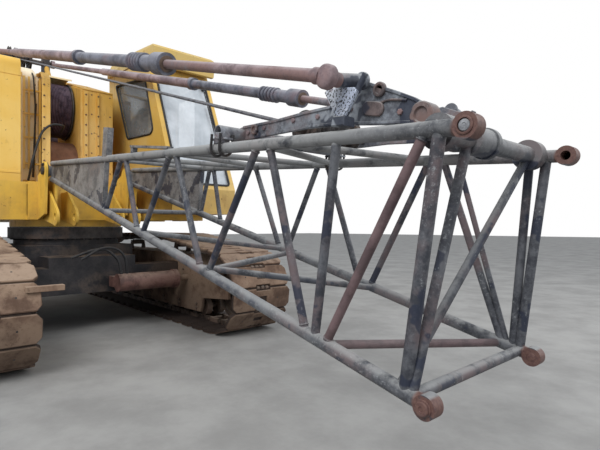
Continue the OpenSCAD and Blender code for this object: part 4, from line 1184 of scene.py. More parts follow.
@dataclass
class HouseTrim(Assembly):
    """What is fixed to the machinery house: grab rails, seam strips, louvres, bolts, lifting eyes and tail lamps."""

    half_w: float = 1.50
    top: float = 3.14
    rear: float = -3.00
    front: float = 0.60
    left_y: float = 1.491
    base: float = 1.74
    right_seams: tuple[float, ...] = (-1.525, -0.215, 0.44)
    left_seams: tuple[float, ...] = (-2.62, -1.6, -0.6)
    seam_half: float = 0.022
    rail_r: float = 0.011
    slat: Points = ((1.484, 0.0), (1.510, -0.016), (1.510, -0.021), (1.484, -0.044))
    slat_length: float = 0.66
    eye_at: tuple[float, float] = (-3.25, 2.505)
    lamp_at: tuple[float, float] = (-3.30, 2.05)

    def rails(self) -> list[Form]:
        """Bent grab rails beside the doors and on the roof's edge.

        Returns:
            The two upright rails and the two on the roof.
        """
        y, z = 0.005 - self.half_w, self.top - 0.005
        upright = [rail((x, y, 1.95), (x, y, 2.85), (0, -0.060, 0), self.rail_r, 0.04, X) for x in (-0.235, -2.865)]
        roof = [rail((-2.8, w, z), (-0.4, w, z), (0, 0, 0.095), self.rail_r, 0.05, Y) for w in (-1.44, -0.72)]
        return upright + roof

    def seams(self) -> list[Form]:
        """Flat strips that cover the panel joints of both houses.

        Returns:
            The strips.
        """
        y, half, top = -self.half_w, self.seam_half, self.top
        strips = [((x - half, y - 0.006, self.base), (x + half, y + 0.004, top - 0.06), 0.002)
                  for x in self.right_seams]
        strips.append(((self.rear + 0.02, y - 0.010, top - 0.062), (self.front - 0.09, y + 0.004, top - 0.030), 0.003))
        strips += [((x - half, self.left_y - 0.010, self.base), (x + half, self.left_y, 3.09), 0.002)
                   for x in self.left_seams]
        strips.append(((0.598, y - 0.002, 1.812), (0.606, -0.664, 1.838), 0.002))
        strips.append(((self.rear + 0.02, y - 0.007, 1.716), (0.606, y + 0.004, 1.736), 0.002))
        return [Form.box(*strip) for strip in strips]

    def louvres(self) -> list[Form]:
        """Two banks of slanted cooling slats on the left side: a four-cornered profile drawn out along x."""
        slat = Form.slab(self.slat, 0.0, self.slat_length, 0.001, (Y, Z, X))
        return [slat.placed(spots([[-2.42], [-1.42]], 0.0, np.arange(2.02, 2.80, 0.062)))]

    def fasteners(self) -> list[Form]:
        """Bolt heads along the seams and the counterweight.

        Returns:
            The heads on the right, on the left and on the counterweight.
        """
        z = np.arange(1.80, 3.05, 0.15)
        right = spots(np.array(self.right_seams)[:, None], -self.half_w - 0.006, z)
        left = spots(np.array(self.left_seams)[:, None], self.left_y, z)
        weight = spots(-3.40, (-1.1, -0.4, 0.4, 1.1), 2.50)
        return [bolts(right, (0, -1, 0), 0.009, 0.007), bolts(left, Y, 0.009, 0.007), bolts(weight, Z, 0.032, 0.022)]

    def lifting_eyes(self) -> list[Form]:
        """Two bent round-bar eyes on the counterweight: half circles y = y0 + r cos t, z = z0 + r sin t.

        Returns:
            The eyes.
        """
        x, z = self.eye_at
        t = np.linspace(-0.15, np.pi + 0.15, 15)
        arcs = [spots(x, y + 0.075 * np.cos(t), z + 0.085 * np.sin(t)) for y in (-0.95, 0.95)]
        return [Form.tube(arc, 0.016, 10, up=X) for arc in arcs]

    def lamps(self, profile: Points, y: float) -> list[Form]:
        """One turned part of both tail lamps, from a place across outward."""
        x, z = self.lamp_at
        return [Form.lathe(profile, (x, way * y, z), (0, way, 0), 20) for way in BOTH]

    def pieces(self) -> list[Piece]:
        """Rails, strips, louvres, bolts, eyes and lamps.

        Returns:
            The pieces, in the order in which they are made.
        """
        lens = self.lamps([(0.0, 0.050), (0.020, 0.050), (0.034, 0.042), (0.036, 0.020)], 1.497)
        rim = self.lamps([(0.0, 0.060), (0.012, 0.060), (0.016, 0.055)], 1.495)
        return [Piece("house_grab_rails", self.rails(), Finish.YELLOW, "upperworks"),
                Piece("house_seam_strips", self.seams(), Finish.YELLOW, "upperworks"),
                Piece("house_louvres", self.louvres(), Finish.YELLOW, "upperworks"),
                Piece("house_bolts", self.fasteners(), Finish.DARK, "upperworks"),
                Piece("counterweight_eyes", self.lifting_eyes(), Finish.YELLOW_LOW, "upperworks"),
                Piece("tail_lamp_lenses", lens, Finish.RED_LAMP, "upperworks"),
                Piece("tail_lamp_rims", rim, Finish.RUBBER, "upperworks")]


@dataclass(frozen=True)
class Drum:
    """One rope drum, in metres along its axis from the crane's centre plane and out from the axis.

    A bolt ring is its place, which way it faces, its radius, its count, a head's radius and height, and its start.
    """

    name: str
    at: tuple[float, float]
    roll: Triple
    core: Points
    flanges: tuple[float, float]
    flange_r: float
    sides: tuple[int, int]
    rings: tuple[tuple[float, float, float, int, float, float, float], ...]
    brake: Points = ()
    rope_r: float = 0.009
    hump: float = 0.0135
    flange_half: float = 0.012
    shaft: Points = ((-0.380, 0.030), (-0.379, 0.050), (-0.375, 0.0594), (0.375, 0.0594), (0.379, 0.050),
                     (0.380, 0.030))

    def turned(self, profile: Sequence[Any], sides: int) -> Form:
        """A profile turned about the drum's axis."""
        return Form.lathe(profile, (self.at[0], 0, self.at[1]), Y, sides)

    def wound(self) -> list[Any]:
        """A rope roll's profile: core + r |sin| across the width, one hump a turn.

        Returns:
            Points (along the axis, radius).
        """
        middle, width, core = self.roll
        turns = round(width / (2 * self.rope_r))
        t = np.linspace(0.0, turns, turns * 5 + 1)
        radius = core - self.rope_r + self.hump * np.abs(np.sin(np.pi * t)) ** 0.6
        return list(zip(middle - width / 2 + t / turns * width, radius))

    def flange(self, middle: float, rim: float = 0.006, bore: float = 0.06) -> Form:
        """A flange with eased edges.

        Args:
            middle: its middle along the axis.
            rim: size of the eased edge.
            bore: radius of its inner end.

        Returns:
            The flange.
        """
        half, radius = self.flange_half, self.flange_r
        edge = [(half - rim * 2, radius), (half - rim * 0.6, radius - rim * 0.5), (half, radius - rim * 2),
                (half, bore)]
        profile = [(middle - a, r) for a, r in reversed(edge)] + [(middle + a, r) for a, r in edge]
        return self.turned(profile, self.sides[1])

    def pieces(self) -> list[Piece]:
        """The rope roll, and the steel round it.

        Returns:
            The pieces, in the order in which they are made.
        """
        rope = self.turned([self.core[0], *self.wound(), self.core[1]], self.sides[0])
        steel = [self.flange(y) for y in self.flanges] + [self.turned(self.shaft, 32)]
        if self.brake:
            steel.append(self.turned(self.brake, 64))
        for y, way, radius, count, size, height, start in self.rings:
            centre = (self.at[0], y, self.at[1])
            steel.append(bolt_circle(centre, (0, way, 0), radius, count, size, height, start))
        body = f"drum_{self.name}"
        return [Piece(f"{self.name}_drum_rope", [rope], Finish.ROPE, body, (f"hoist_drum_{self.name}",)),
                Piece(f"{self.name}_drum_flanges", steel, Finish.DARK, body)]


FRONT_DRUM = Drum(
    "front", (-0.130, 2.745), (-0.160, 0.303, 0.3455), ((-0.313, 0.30), (-0.007, 0.30)), (-0.325, 0.005), 0.372,
    (96, 72), ((-0.337, -1.0, 0.345, 8, 0.011, 0.009, 0.2), (0.300, 1.0, 0.17, 16, 0.011, 0.010, 0.0)),
    ((0.100, 0.062), (0.100, 0.238), (0.104, 0.246), (0.112, 0.246), (0.118, 0.238), (0.282, 0.238),
     (0.288, 0.246), (0.296, 0.246), (0.300, 0.238), (0.300, 0.062)))
REAR_DRUM = Drum(
    "rear", (-1.250, 2.450), (0.0, 0.472, 0.221), ((-0.238, 0.18), (0.238, 0.18)), (-0.250, 0.250), 0.340,
    (80, 64), ((0.262, 1.0, 0.15, 8, 0.013, 0.010, 0.0),))


@dataclass
class DrumBay(Assembly):
    """Both rope drums, and the bay's edge strips, ladder frame, bolts and pipes."""

    hood_r: float = 0.437
    strip: Points = ((0.549, 1.725), (0.562, 1.725), (0.562, 2.962), (0.472, 3.052), (0.25, 3.062), (0.25, 3.050),
                     (0.467, 3.040), (0.549, 2.957))
    foot: Points = ((0.100, 1.725), (0.276, 1.725), (0.276, 1.770), (0.100, 1.770))
    case: Points = ((0.27, 1.77), (0.276, 1.77), (0.276, 3.05), (0.25, 3.11), (0.17, 3.156), (0.17, 3.148),
                    (0.245, 3.104), (0.27, 3.047))
    uprights: Points = ((-0.569, 0.014), (-0.516, 0.010), (-0.400, 0.011))
    rungs: tuple[float, ...] = (1.965, 2.285, 2.570, 2.855)
    main: Points = ((0.30, -0.16, 2.40), (0.585, -0.20, 2.424), (0.592, -0.316, 2.425), (0.592, -0.385, 2.385),
                    (0.592, -0.444, 2.312), (0.590, -0.485, 2.19), (0.585, -0.516, 2.07), (0.580, -0.547, 1.94),
                    (0.560, -0.557, 1.84), (0.48, -0.56, 1.75))
    thin: Points = ((0.30, -0.44, 2.70), (0.34, -0.455, 2.58), (0.36, -0.470, 2.30), (0.375, -0.48, 2.05),
                    (0.36, -0.49, 1.80))
    tall: Points = ((-0.20, -0.52, 3.16), (0.10, -0.50, 3.19), (0.30, -0.47, 3.05), (0.325, -0.455, 2.70),
                    (0.33, -0.46, 2.20), (0.33, -0.475, 1.80))

    def edges(self) -> list[Form]:
        """The stand's turned front edge, the hood's two rims and the case's edges.

        Returns:
            The edges, from the stand to the case.
        """
        t = np.linspace(math.radians(66), math.radians(176), 40)
        x, z = FRONT_DRUM.at
        rims = [Form.tube(spots(x + self.hood_r * np.cos(t), y, z + self.hood_r * np.sin(t)), 0.009, 8, up=Y)
                for y in (-0.348, 0.028)]
        return [Form.slab(self.strip, -0.436, -0.345, 0.002), *rims, Form.slab(self.foot, -0.626, -0.398, 0.003),
                Form.slab(self.case, -0.622, -0.584, 0.001)]

    def ladder(self) -> list[Form]:
        """The light frame before the case: three uprights and four rungs of flat bar.

        Returns:
            The bars.
        """
        uprights = [Form.box((0.292, y - half, 1.90), (0.304, y + half, 3.02), 0.002) for y, half in self.uprights]
        rungs = [Form.box((0.300, -0.583, z - 0.011), (0.309, -0.388, z + 0.011), 0.002) for z in self.rungs]
        return uprights + rungs

    def fasteners(self) -> list[Form]:
        """Bolts down the stand's edge, the front wall's ribs and panels, the case's side and the partition.

        Returns:
            The five groups, each facing forward.
        """
        z = np.arange(1.86, 2.95, 0.128)
        groups = [(0.562, -0.412, z, 0.0105, 0.009), (0.461, [[0.088], [0.239]], z, 0.011, 0.009),
                  (0.433, [[0.165], [0.395]], np.arange(1.90, 2.92, 0.25), 0.009, 0.007),
                  (0.276, -0.603, np.arange(1.84, 3.0, 0.19), 0.010, 0.008),
                  (-0.288, [[0.47], [0.60]], np.arange(1.9, 3.0, 0.22), 0.010, 0.008)]
        return [bolts(spots(x, y, heights), X, size, height) for x, y, heights, size, height in groups]

    def pipes(self) -> list[Form]:
        """The dark pipes that bend over the bay's edge and run down beside the case."""
        return [pipe(self.main, 0.0135, 0.05), pipe(self.thin, 0.010, 0.06, X), pipe(self.tall, 0.009, 0.06, Y)]

    def pieces(self) -> list[Piece]:
        """Drums, edge strips, ladder frame, bolts and pipes.

        Returns:
            The pieces, in the order in which they are made.
        """
        return [*FRONT_DRUM.pieces(), *REAR_DRUM.pieces(),
                Piece("bay_edge_strips", self.edges(), Finish.YELLOW_BAY, "upperworks"),
                Piece("case_ladder", self.ladder(), Finish.YELLOW, "upperworks"),
                Piece("bay_bolts", self.fasteners(), Finish.PRIMER, "upperworks"),
                Piece("bay_pipes", self.pipes(), Finish.RUBBER, "upperworks")]


# ---------------------------------------------------------------- cab

@dataclass
class CabTrim(Assembly):
    """Window seals, one wiper, grab rails, rivets and the door's pull."""

    inner: float = 0.660
    outer: float = 1.500
    boom_window: Points = ((-0.06, 3.225), (0.93, 3.105), (1.16, 2.43), (1.135, 2.385), (1.085, 2.365),
                           (0.395, 2.40), (0.35, 2.425))
    front_window: Points = ((0.84, 3.06), (0.93, 3.06), (1.20, 2.42), (1.20, 2.33), (0.84, 2.33))
    screen: Points = ((0.73, 1.72), (1.43, 1.72), (1.43, 3.09), (0.73, 3.09))
    rear_window: Points = ((0.81, 2.45), (1.35, 2.45), (1.35, 3.05), (0.81, 3.05))
    door_window: Points = ((0.12, 2.25), (0.70, 2.25), (0.70, 3.10), (0.12, 3.10))
    rear_x: float = -0.332
    screen_low: tuple[float, float] = (1.72, 1.66)
    screen_high: tuple[float, float] = (1.09, 3.12)
    screen_normal: Triple = (1.0, 0.0, 0.4)
    wiper: tuple[float, ...] = (3.05, 2.80, 2.55, 2.30)
    wiper_y: float = 1.375
    wiper_r: float = 0.006
    rail_r: float = 0.012

    def screen_x(self, z: float) -> float:
        """The windscreen's front face at a height."""
        (x0, z0), (x1, z1) = self.screen_low, self.screen_high
        return x0 + (x1 - x0) * (z - z0) / (z1 - z0)

    def seals(self) -> list[Form]:
        """A black rubber seal round each window.

        Returns:
            The four seals.
        """
        return [seal([(x, self.inner - 0.002, z) for x, z in self.boom_window], 0.013),
                seal([(x, self.outer + 0.002, z) for x, z in self.front_window], 0.012),
                seal([(self.screen_x(z) + 0.002, y, z) for y, z in self.screen], 0.014, self.screen_normal),
                seal([(self.rear_x, y, z) for y, z in self.rear_window], 0.012, X)]

    def wipers(self) -> list[Form]:
        """The windscreen wiper, parked at the far edge: its arm, its blade and its turned foot.

        Returns:
            Arm, blade and foot.
        """
        y, (top, high, elbow, low) = self.wiper_y, self.wiper
        arm = [(self.screen_x(top) + 0.030, y, top), (self.screen_x(elbow) + 0.024, y + 0.012, elbow)]
        blade = [(self.screen_x(high) + 0.014, y + 0.012, high), (self.screen_x(low) + 0.014, y + 0.016, low)]
        foot = [(0.0, 0.022), (0.02, 0.022), (0.034, 0.012)]
        return [pipe(arm, self.wiper_r, 0.02), pipe(blade, self.wiper_r, 0.02),
                Form.lathe(foot, (self.screen_x(top), y, top), self.screen_normal, 12)]

    def handles(self) -> list[Form]:
        """Grab rails by the door and on the front corner.

        Returns:
            The two rails.
        """
        y = self.outer
        door = [(0.83, y - 0.002, 1.75), (0.83, y + 0.075, 1.78), (0.83, y + 0.075, 2.62), (0.83, y - 0.002, 2.65)]
        front = [(1.52, y - 0.002, 1.95), (1.52, y + 0.060, 1.97), (1.29, y + 0.060, 2.50), (1.29, y - 0.002, 2.52)]
        return [pipe(run, self.rail_r, 0.04, X) for run in (door, front)]

    def rivets(self) -> list[Form]:
        """Rivets along the roof's lower edge and the corner post.

        Returns:
            The rivets.
        """
        x = np.arange(-0.32, 1.05, 0.11)
        rows = ((self.inner - 0.015, -1), (self.outer + 0.015, 1))
        sides = [bolts(spots(x, y, 3.385 - 0.02 * x), (0, way, 0), 0.007, 0.005) for y, way in rows]
        z = np.arange(1.80, 3.05, 0.125)
        return [*sides, bolts(spots(self.screen_x(z) - 0.045, self.inner, z), (0, -1, 0), 0.007, 0.005)]

    def pieces(self) -> list[Piece]:
        """Seals, wiper, rails, rivets and the door's pull.

        Returns:
            The pieces, in the order in which they are made.
        """
        door = seal([(x, self.outer + 0.036, z) for x, z in self.door_window], 0.009)
        start, end = ((0.64, self.outer + 0.027, z) for z in (2.0, 2.18))
        pull = rail(start, end, (0, 0.048, 0), 0.008, 0.02, X)
        return [Piece("cab_window_seals", self.seals(), Finish.RUBBER, "upperworks"),
                Piece("cab_door_seal", [door], Finish.RUBBER, "cab_door"),
                Piece("cab_wipers", self.wipers(), Finish.RUBBER, "upperworks"),
                Piece("cab_grab_rails", self.handles(), Finish.YELLOW_CAB, "upperworks"),
                Piece("cab_rivets", self.rivets(), Finish.YELLOW_BAY, "upperworks"),
                Piece("cab_door_pull", [pull], Finish.DARK, "cab_door")]


# ---------------------------------------------------------------- A-frame, ropes and struts

@dataclass
class Rigging(Assembly):
    """Grooved sheaves, laid wire ropes, and the A-frame's pin caps and foot bolts."""

    head: tuple[float, float] = (-3.0, 4.28)
    sheave_z: float = 4.26
    bridle: tuple[float, float] = (3.85, 0.50)
    lanes: tuple[float, ...] = (-0.16, -0.06, 0.06, 0.16)
    rope_r: float = 0.009
    lay: float = 0.16
    reach: float = 4.18
    clear: float = 0.2
    offset: float = 0.034
    feet: Points = ((-1.015, 1.740), (-3.205, 2.520))

    def sheaves(self, radius: float, half: float, bore: float, at: np.ndarray, pin: float) -> list[Form]:
        """Four grooved sheaves on their pin, turned about y.

        Args:
            radius: a sheave's radius.
            half: half its width.
            bore: its pin's radius.
            at: the set's middle.
            pin: half the pin's length.

        Returns:
            The sheaves and the pin.
        """
        rim = [(half * a, radius * b) for a, b in ((0.45, 0.93), (0.8, 1.0), (1.0, 0.985), (1.0, 0.80), (0.35, 0.74))]
        side = rim + [(half * 0.35, bore * 1.9), (half * 0.9, bore * 1.7), (half * 0.9, bore)]
        profile = [(-a, r) for a, r in reversed(side)] + [(0.0, radius * 0.90)] + side
        wheels = Form.lathe(profile, (0, 0, 0), Y, 48).placed(spots(at[0], self.lanes, at[2]))
        shaft = [(-pin, bore * 0.9), (-pin + 0.004, bore), (pin - 0.004, bore), (pin, bore * 0.9)]
        return [wheels, Form.lathe(shaft, at, Y, 24)]

    def rope(self, start: np.ndarray, end: np.ndarray) -> Form:
        """A laid rope: radius r (1 - 0.16 |sin 3(t - 2 pi s / lay)|), so six strands wind round it.

        Args:
            start: one end.
            end: the other.

        Returns:
            The rope.
        """
        length = float(np.linalg.norm(end - start))
        s = np.linspace(0.0, length, int(length / self.lay * 11) + 2)
        t = around(18)
        along = (end - start) / length
        twist = 3.0 * (t[None] - 2.0 * np.pi * s[:, None] / self.lay)
        radius = self.rope_r * (1.0 - 0.16 * np.abs(np.sin(twist)))
        ring = np.cos(t)[:, None] * np.array(Y) + np.sin(t)[:, None] * np.cross(Y, along)
        return Form.grid(start + s[:, None, None] * along + radius[..., None] * ring[None, ::-1])

    def ropes(self) -> tuple[list[Form], list[Form]]:
        """The four falls, each half on its own body.

        Returns:
            The rear halves and the front halves.
        """
        a, b = np.array([self.head[0], 0.0, self.sheave_z]), in_boom(*self.bridle, 0.0)
        short, long = unit(b - a) * self.clear, unit(b - a) * self.reach
        rear = [self.rope(a + short + (0, y, 0), a + long + (0, y, 0)) for y in self.lanes]
        front = [self.rope(b - long + (0, y + self.offset, 0), b - short + (0, y + self.offset, 0))
                 for y in self.lanes]
        return rear, front

    def pins(self) -> list[Form]:
        """Caps on the A-frame's head pin, and four bolts on each of its feet.

        Returns:
            The caps and the bolts.
        """
        x, z = self.head
        cap = [(0.0, 0.047), (0.008, 0.047), (0.014, 0.040)]
        caps = [Form.lathe(cap, (x, way * 0.620, z), (0, way, 0), 24) for way in BOTH]
        dx, dy = np.array([[-0.075], [0.075]]), np.array([-0.035, 0.035])
        feet = [bolts(spots(fx + dx, way * 0.43 + dy, fz), Z, 0.014, 0.014) for way in BOTH for fx, fz in self.feet]
        return caps + feet

    def pieces(self) -> list[Piece]:
        """Ropes, sheaves, pins and bolts.

        Returns:
            The pieces, in the order in which they are made.
        """
        rear, front = self.ropes()
        head = self.sheaves(0.18, 0.018, 0.045, np.array([self.head[0], 0.0, self.sheave_z]), 0.3799)
        low = self.sheaves(0.095, 0.018, 0.026, in_boom(*self.bridle, 0.0), 0.2999)
        return [Piece("boom_hoist_ropes_rear", rear, Finish.WIRE, "ropes_rear", ("hoist_ropes_rear",)),
                Piece("boom_hoist_ropes_front", front, Finish.WIRE, "ropes_front", ("hoist_ropes_front",)),
                Piece("head_sheave_set", head, Finish.DARK, "upperworks", ("head_sheaves",)),
                Piece("bridle_sheave_set", low, Finish.DARK, "boom", ("bridle_sheaves",)),
                Piece("a_frame_pins", self.pins(), Finish.DARK, "upperworks")]


@dataclass
class Backstop(Assembly):
    """One strut beside the ropes: the eye with its rod, and the gland ring in the sliding tube's mouth."""

    side: Side
    pin: tuple[float, float] = (4.366, 0.640)
    across: float = 0.552
    head: tuple[float, float] = (-3.0, 4.28)
    rod_r: float = 0.027
    bore_r: float = 0.036
    mouth: float = 1.392
    rod_end: float = 1.900
    boss: Points = ((-0.020, 0.0), (-0.020, 0.020), (-0.016, 0.040), (-0.010, 0.0465), (-0.004, 0.048),
                    (0.018, 0.048), (0.024, 0.044), (0.027, 0.0305), (0.067, 0.0295), (0.068, 0.0))

    def at(self, distance: float) -> np.ndarray:
        """The place on the strut's line at a distance from its pin.

        Args:
            distance: metres from the pin.

        Returns:
            The place.
        """
        pin = in_boom(*self.pin, self.side * self.across)
        far = np.array([self.head[0], self.side * self.across, self.head[1]])
        return pin + unit(far - pin) * distance

    def eye(self) -> list[Form]:
        """The front rod with its weld cone, and its eye: a round boss with eased rims and a neck towards the boom.

        Returns:
            The rod and the eye.
        """
        pin, r, end = self.at(0.0), self.rod_r, self.rod_end
        rod = [(0.030, 0.024), (0.044, 0.033), (0.060, 0.0335), (0.075, r), (end - 0.006, r), (end, r - 0.004)]
        return [Form.lathe(rod, pin, self.at(1.0) - pin, 24), Form.lathe(self.boss, pin, (0, -self.side, 0), 40)]

    def gland(self) -> Form:
        """The ring between rod and tube: its profile down the bore from the mouth's face, closed on itself.

        Returns:
            The ring.
        """
        r, bore = self.rod_r, self.bore_r
        ring = [(0.002, r + 0.0006), (0.000, r + 0.003), (0.000, bore + 0.012), (0.006, bore + 0.014),
                (0.018, bore - 0.001), (0.018, r + 0.0006), (0.002, r + 0.0006)]
        return Form.lathe(ring, self.at(self.mouth - 0.002), self.at(2.0) - self.at(1.0), 32)

    def pieces(self) -> list[Piece]:
        """The eye with its rod, and the gland.

        Returns:
            The pieces, in the order in which they are made.
        """
        name = self.side.label
        return [Piece(f"backstop_eye_rod_{name}", self.eye(), Finish.ROD, f"strut_eye_{name}",
                      (f"backstop_eye_{name}",)),
                Piece(f"backstop_gland_{name}", [self.gland()], Finish.LINKS, f"strut_tube_{name}")]


# ---------------------------------------------------------------- boom

@dataclass
class Bridle(Assembly):
    """The hoist frame on the boom: two plate arms with folded edges and worn bosses on a hollow cross pipe."""

    arm_y: float = 0.310
    arm_half: float = 0.010
    pipe_at: tuple[float, float] = (3.496, 0.438)
    pipe_half: float = 0.478
    pipe_r: float = 0.038
    seat_half: float = 0.024
    rise: Points = ((3.480, 0.408), (3.470, 0.480), (3.506, 0.490), (3.794, 0.523), (4.009, 0.557), (4.185, 0.580),
                    (4.290, 0.665), (4.351, 0.676))
    near_end: Points = ((4.528, 0.624), (4.614, 0.595), (4.704, 0.553), (4.722, 0.516), (4.693, 0.491))
    far_end: Points = ((4.480, 0.640), (4.500, 0.600), (4.490, 0.500))
    fall: Points = ((4.352, 0.492), (4.224, 0.490), (4.022, 0.477))
    lower_edge: Points = ((4.022, 0.491), (4.224, 0.505), (4.352, 0.507), (4.690, 0.507))
    stub: Points = ((0.0, 0.049), (0.056, 0.049), (0.060, 0.045), (0.060, 0.030), (0.050, 0.026), (0.050, 0.0))
    shaft: Points = ((0, 0.029), (0.004, 0.030), (0.616, 0.030), (0.620, 0.029))
    clamps: tuple[Points, ...] = (((-0.075, 0.392), (-0.046, 0.394), (-0.046, 0.404), (-0.075, 0.402)),
                                  ((0.046, 0.400), (0.075, 0.402), (0.075, 0.412), (0.046, 0.410)))

    def folded_edge(self, run: Points, low: float, high: float, width: float = 0.014) -> Form:
        """A strip along a run of corners: the run and the same run lowered by the strip's width."""
        line = np.asarray(run, float)
        return boom_slab(np.concatenate([line, line[::-1] - (0.0, width)]), low, high, 0.002)

    def arms(self) -> list[Form]:
        """Both arms with their folded upper edges and the plate's edge below.

        Returns:
            The two plates and their three edges.
        """
        y, half = self.arm_y, self.arm_half
        return [boom_slab(self.rise + self.near_end + self.fall, -y - half, -y + half),
                boom_slab(self.rise + self.far_end + self.fall, y - half, y + half),
                self.folded_edge(self.rise[2:] + self.near_end[:3], -y - 0.016, -y - 0.009),
                self.folded_edge(self.rise[2:] + self.far_end[:1], y + 0.009, y + 0.016),
                self.folded_edge(self.lower_edge, -y - 0.014, -y - 0.009, 0.012)]

    def boss(self, along: float, above: float, radius: float, way: float, height: float = 0.016) -> Form:
        """A turned boss with a sunk middle: profile out along the axis and back down into the recess.

        Args:
            along: place along the boom.
            above: place over its axis.
            radius: the boss's radius.
            way: which arm, and which way the boss faces.
            height: its height.

        Returns:
            The boss.
        """
        ring = [(0.0, radius), (height - 0.003, radius), (height, radius - 0.003), (height, radius * 0.62),
                (height - 0.008, radius * 0.55), (height - 0.008, 0.0)]
        return Form.lathe(ring, in_boom(along, above, way * (self.arm_y + 0.008)), (0, way, 0), 32)

    def long_boss(self) -> Form:
        """The near arm's long worn boss: a circle whose two halves stand apart, along + reach + r cos t.

        Returns:
            The boss.
        """
        t, near = around(28), -self.arm_y
        reach = np.where(np.cos(t) > 0, 0.026, -0.026) * (np.abs(np.cos(t)) > 0.2)
        outline = np.stack([4.425 + reach + 0.030 * np.cos(t), 0.556 + 0.030 * np.sin(t) - reach * 0.1], 1)
        return boom_slab(outline, near - 0.023, near - 0.008, 0.004)

    def bosses(self) -> list[Form]:
        """Round bosses, the long worn boss of the near arm, the pin stub, the thin rod above it and the shaft.

        Returns:
            All of them.
        """
        near = -self.arm_y
        rod = in_boom([4.44, 4.50, 4.585], [0.575, 0.590, 0.584], near - 0.014)
        return [self.boss(4.447, 0.632, 0.030, -1.0), self.boss(3.620, 0.472, 0.028, -1.0),
                self.boss(3.620, 0.472, 0.028, 1.0), self.boss(4.443, 0.600, 0.032, 1.0), self.long_boss(),
                Form.lathe(self.stub, in_boom(4.668, 0.526, near + 0.025), (0, -1, 0), 36),
                pipe(rod, 0.005, 0.02, Y, 8), Form.lathe(self.shaft, in_boom(4.440, 0.565, near), Y, 24)]

    def cross_pipe(self) -> Form:
        """The hollow pipe: outer wall, rounded lip and bore at each end.

        Returns:
            The pipe.
        """
        half, r = self.pipe_half, self.pipe_r
        end = [(half - 0.002, r), (half, r - 0.004), (half - 0.002, r - 0.007), (half - 0.10, r - 0.008),
               (half - 0.12, 0.0)]
        return Form.lathe([(-a, b) for a, b in reversed(end)] + end, in_boom(*self.pipe_at, 0.0), Y, 40)

    def saddles(self) -> list[Form]:
        """Seat plates between pipe and chords, with their clamp plates.

        Returns:
            The plates.
        """
        s, h = self.pipe_at
        seat = [(s - 0.045, 0.374), (s + 0.045, 0.381), (s + 0.040, h), (s - 0.040, h)]
        forms = []
        for way in BOTH:
            low, high = way * CHORD_Y - self.seat_half, way * CHORD_Y + self.seat_half
            forms.append(boom_slab(seat, low, high))
            forms += [boom_slab([(s + a, b) for a, b in clamp], low, high, 0.002) for clamp in self.clamps]
        return forms

    def pieces(self) -> list[Piece]:
        """Arms, bosses, cross pipe and saddles.

        Returns:
            The pieces, in the order in which they are made.
        """
        return [Piece("bridle_arms", self.arms(), Finish.ARMS, "boom", ("bridle",)),
                Piece("bridle_bosses", self.bosses(), Finish.BOSSES, "boom", ("bridle",)),
                Piece("bridle_cross_pipe", [self.cross_pipe()], Finish.ARMS, "boom", ("bridle",)),
                Piece("bridle_saddles", self.saddles(), Finish.ARMS, "boom", ("bridle",))]


@dataclass
class StrutBrackets(Assembly):
    """The speckled three-cornered plates on the boom, each under a short cross pipe, with a bar at its front edge."""

    plate: Points = ((4.264, 0.604), (4.280, 0.622), (4.425, 0.617), (4.440, 0.600), (4.386, 0.492), (4.383, 0.470),
                     (4.357, 0.470), (4.352, 0.492))
    plate_half: float = 0.009
    block: Points = ((4.346, 0.463), (4.418, 0.468), (4.412, 0.506), (4.350, 0.502))
    block_half: float = 0.034
    pipe_ends: Points = ((4.366, 0.641, 0.482), (4.372, 0.668, 0.336))
    pipe: Points = ((0.0, 0.026), (0.002, 0.0285), (0.128, 0.0285), (0.130, 0.036), (0.142, 0.036), (0.146, 0.032))
    bar: Points = ((4.456, 0.672, 0.430), (4.418, 0.588, 0.434), (4.378, 0.500, 0.440))
    bar_r: float = 0.0125

    def flats(self, outline: Points, half: float, rim: float) -> list[Form]:
        """One outline on both chords, given thickness across the boom."""
        return [boom_slab(outline, y - half, y + half, rim) for y in (-CHORD_Y, CHORD_Y)]

    def pipes(self) -> list[Form]:
        """The short pipes from the strut's neck to the arm, with an end disc, and the edge bars.

        Returns:
            A pipe and a bar on each side.
        """
        forms = []
        for way in BOTH:
            (a, b), bar = (in_boom(*(np.array(run) * (1, 1, way)).T) for run in (self.pipe_ends, self.bar))
            forms += [Form.lathe(self.pipe, a, b - a, 32), Form.tube(bar, self.bar_r, 12, up=Y)]
        return forms

    def pieces(self) -> list[Piece]:
        """Plates, pipes and saddles.

        Returns:
            The pieces, in the order in which they are made.
        """
        plates, blocks = self.flats(self.plate, self.plate_half, 0.003), self.flats(self.block, self.block_half, 0.004)
        return [Piece("strut_bracket_plates", plates, Finish.SPECKLED, "boom", ("strut_brackets",)),
                Piece("strut_bracket_pipes", self.pipes(), Finish.ARMS, "boom", ("strut_brackets",)),
                Piece("strut_bracket_saddles", blocks, Finish.ARMS, "boom", ("strut_brackets",))]


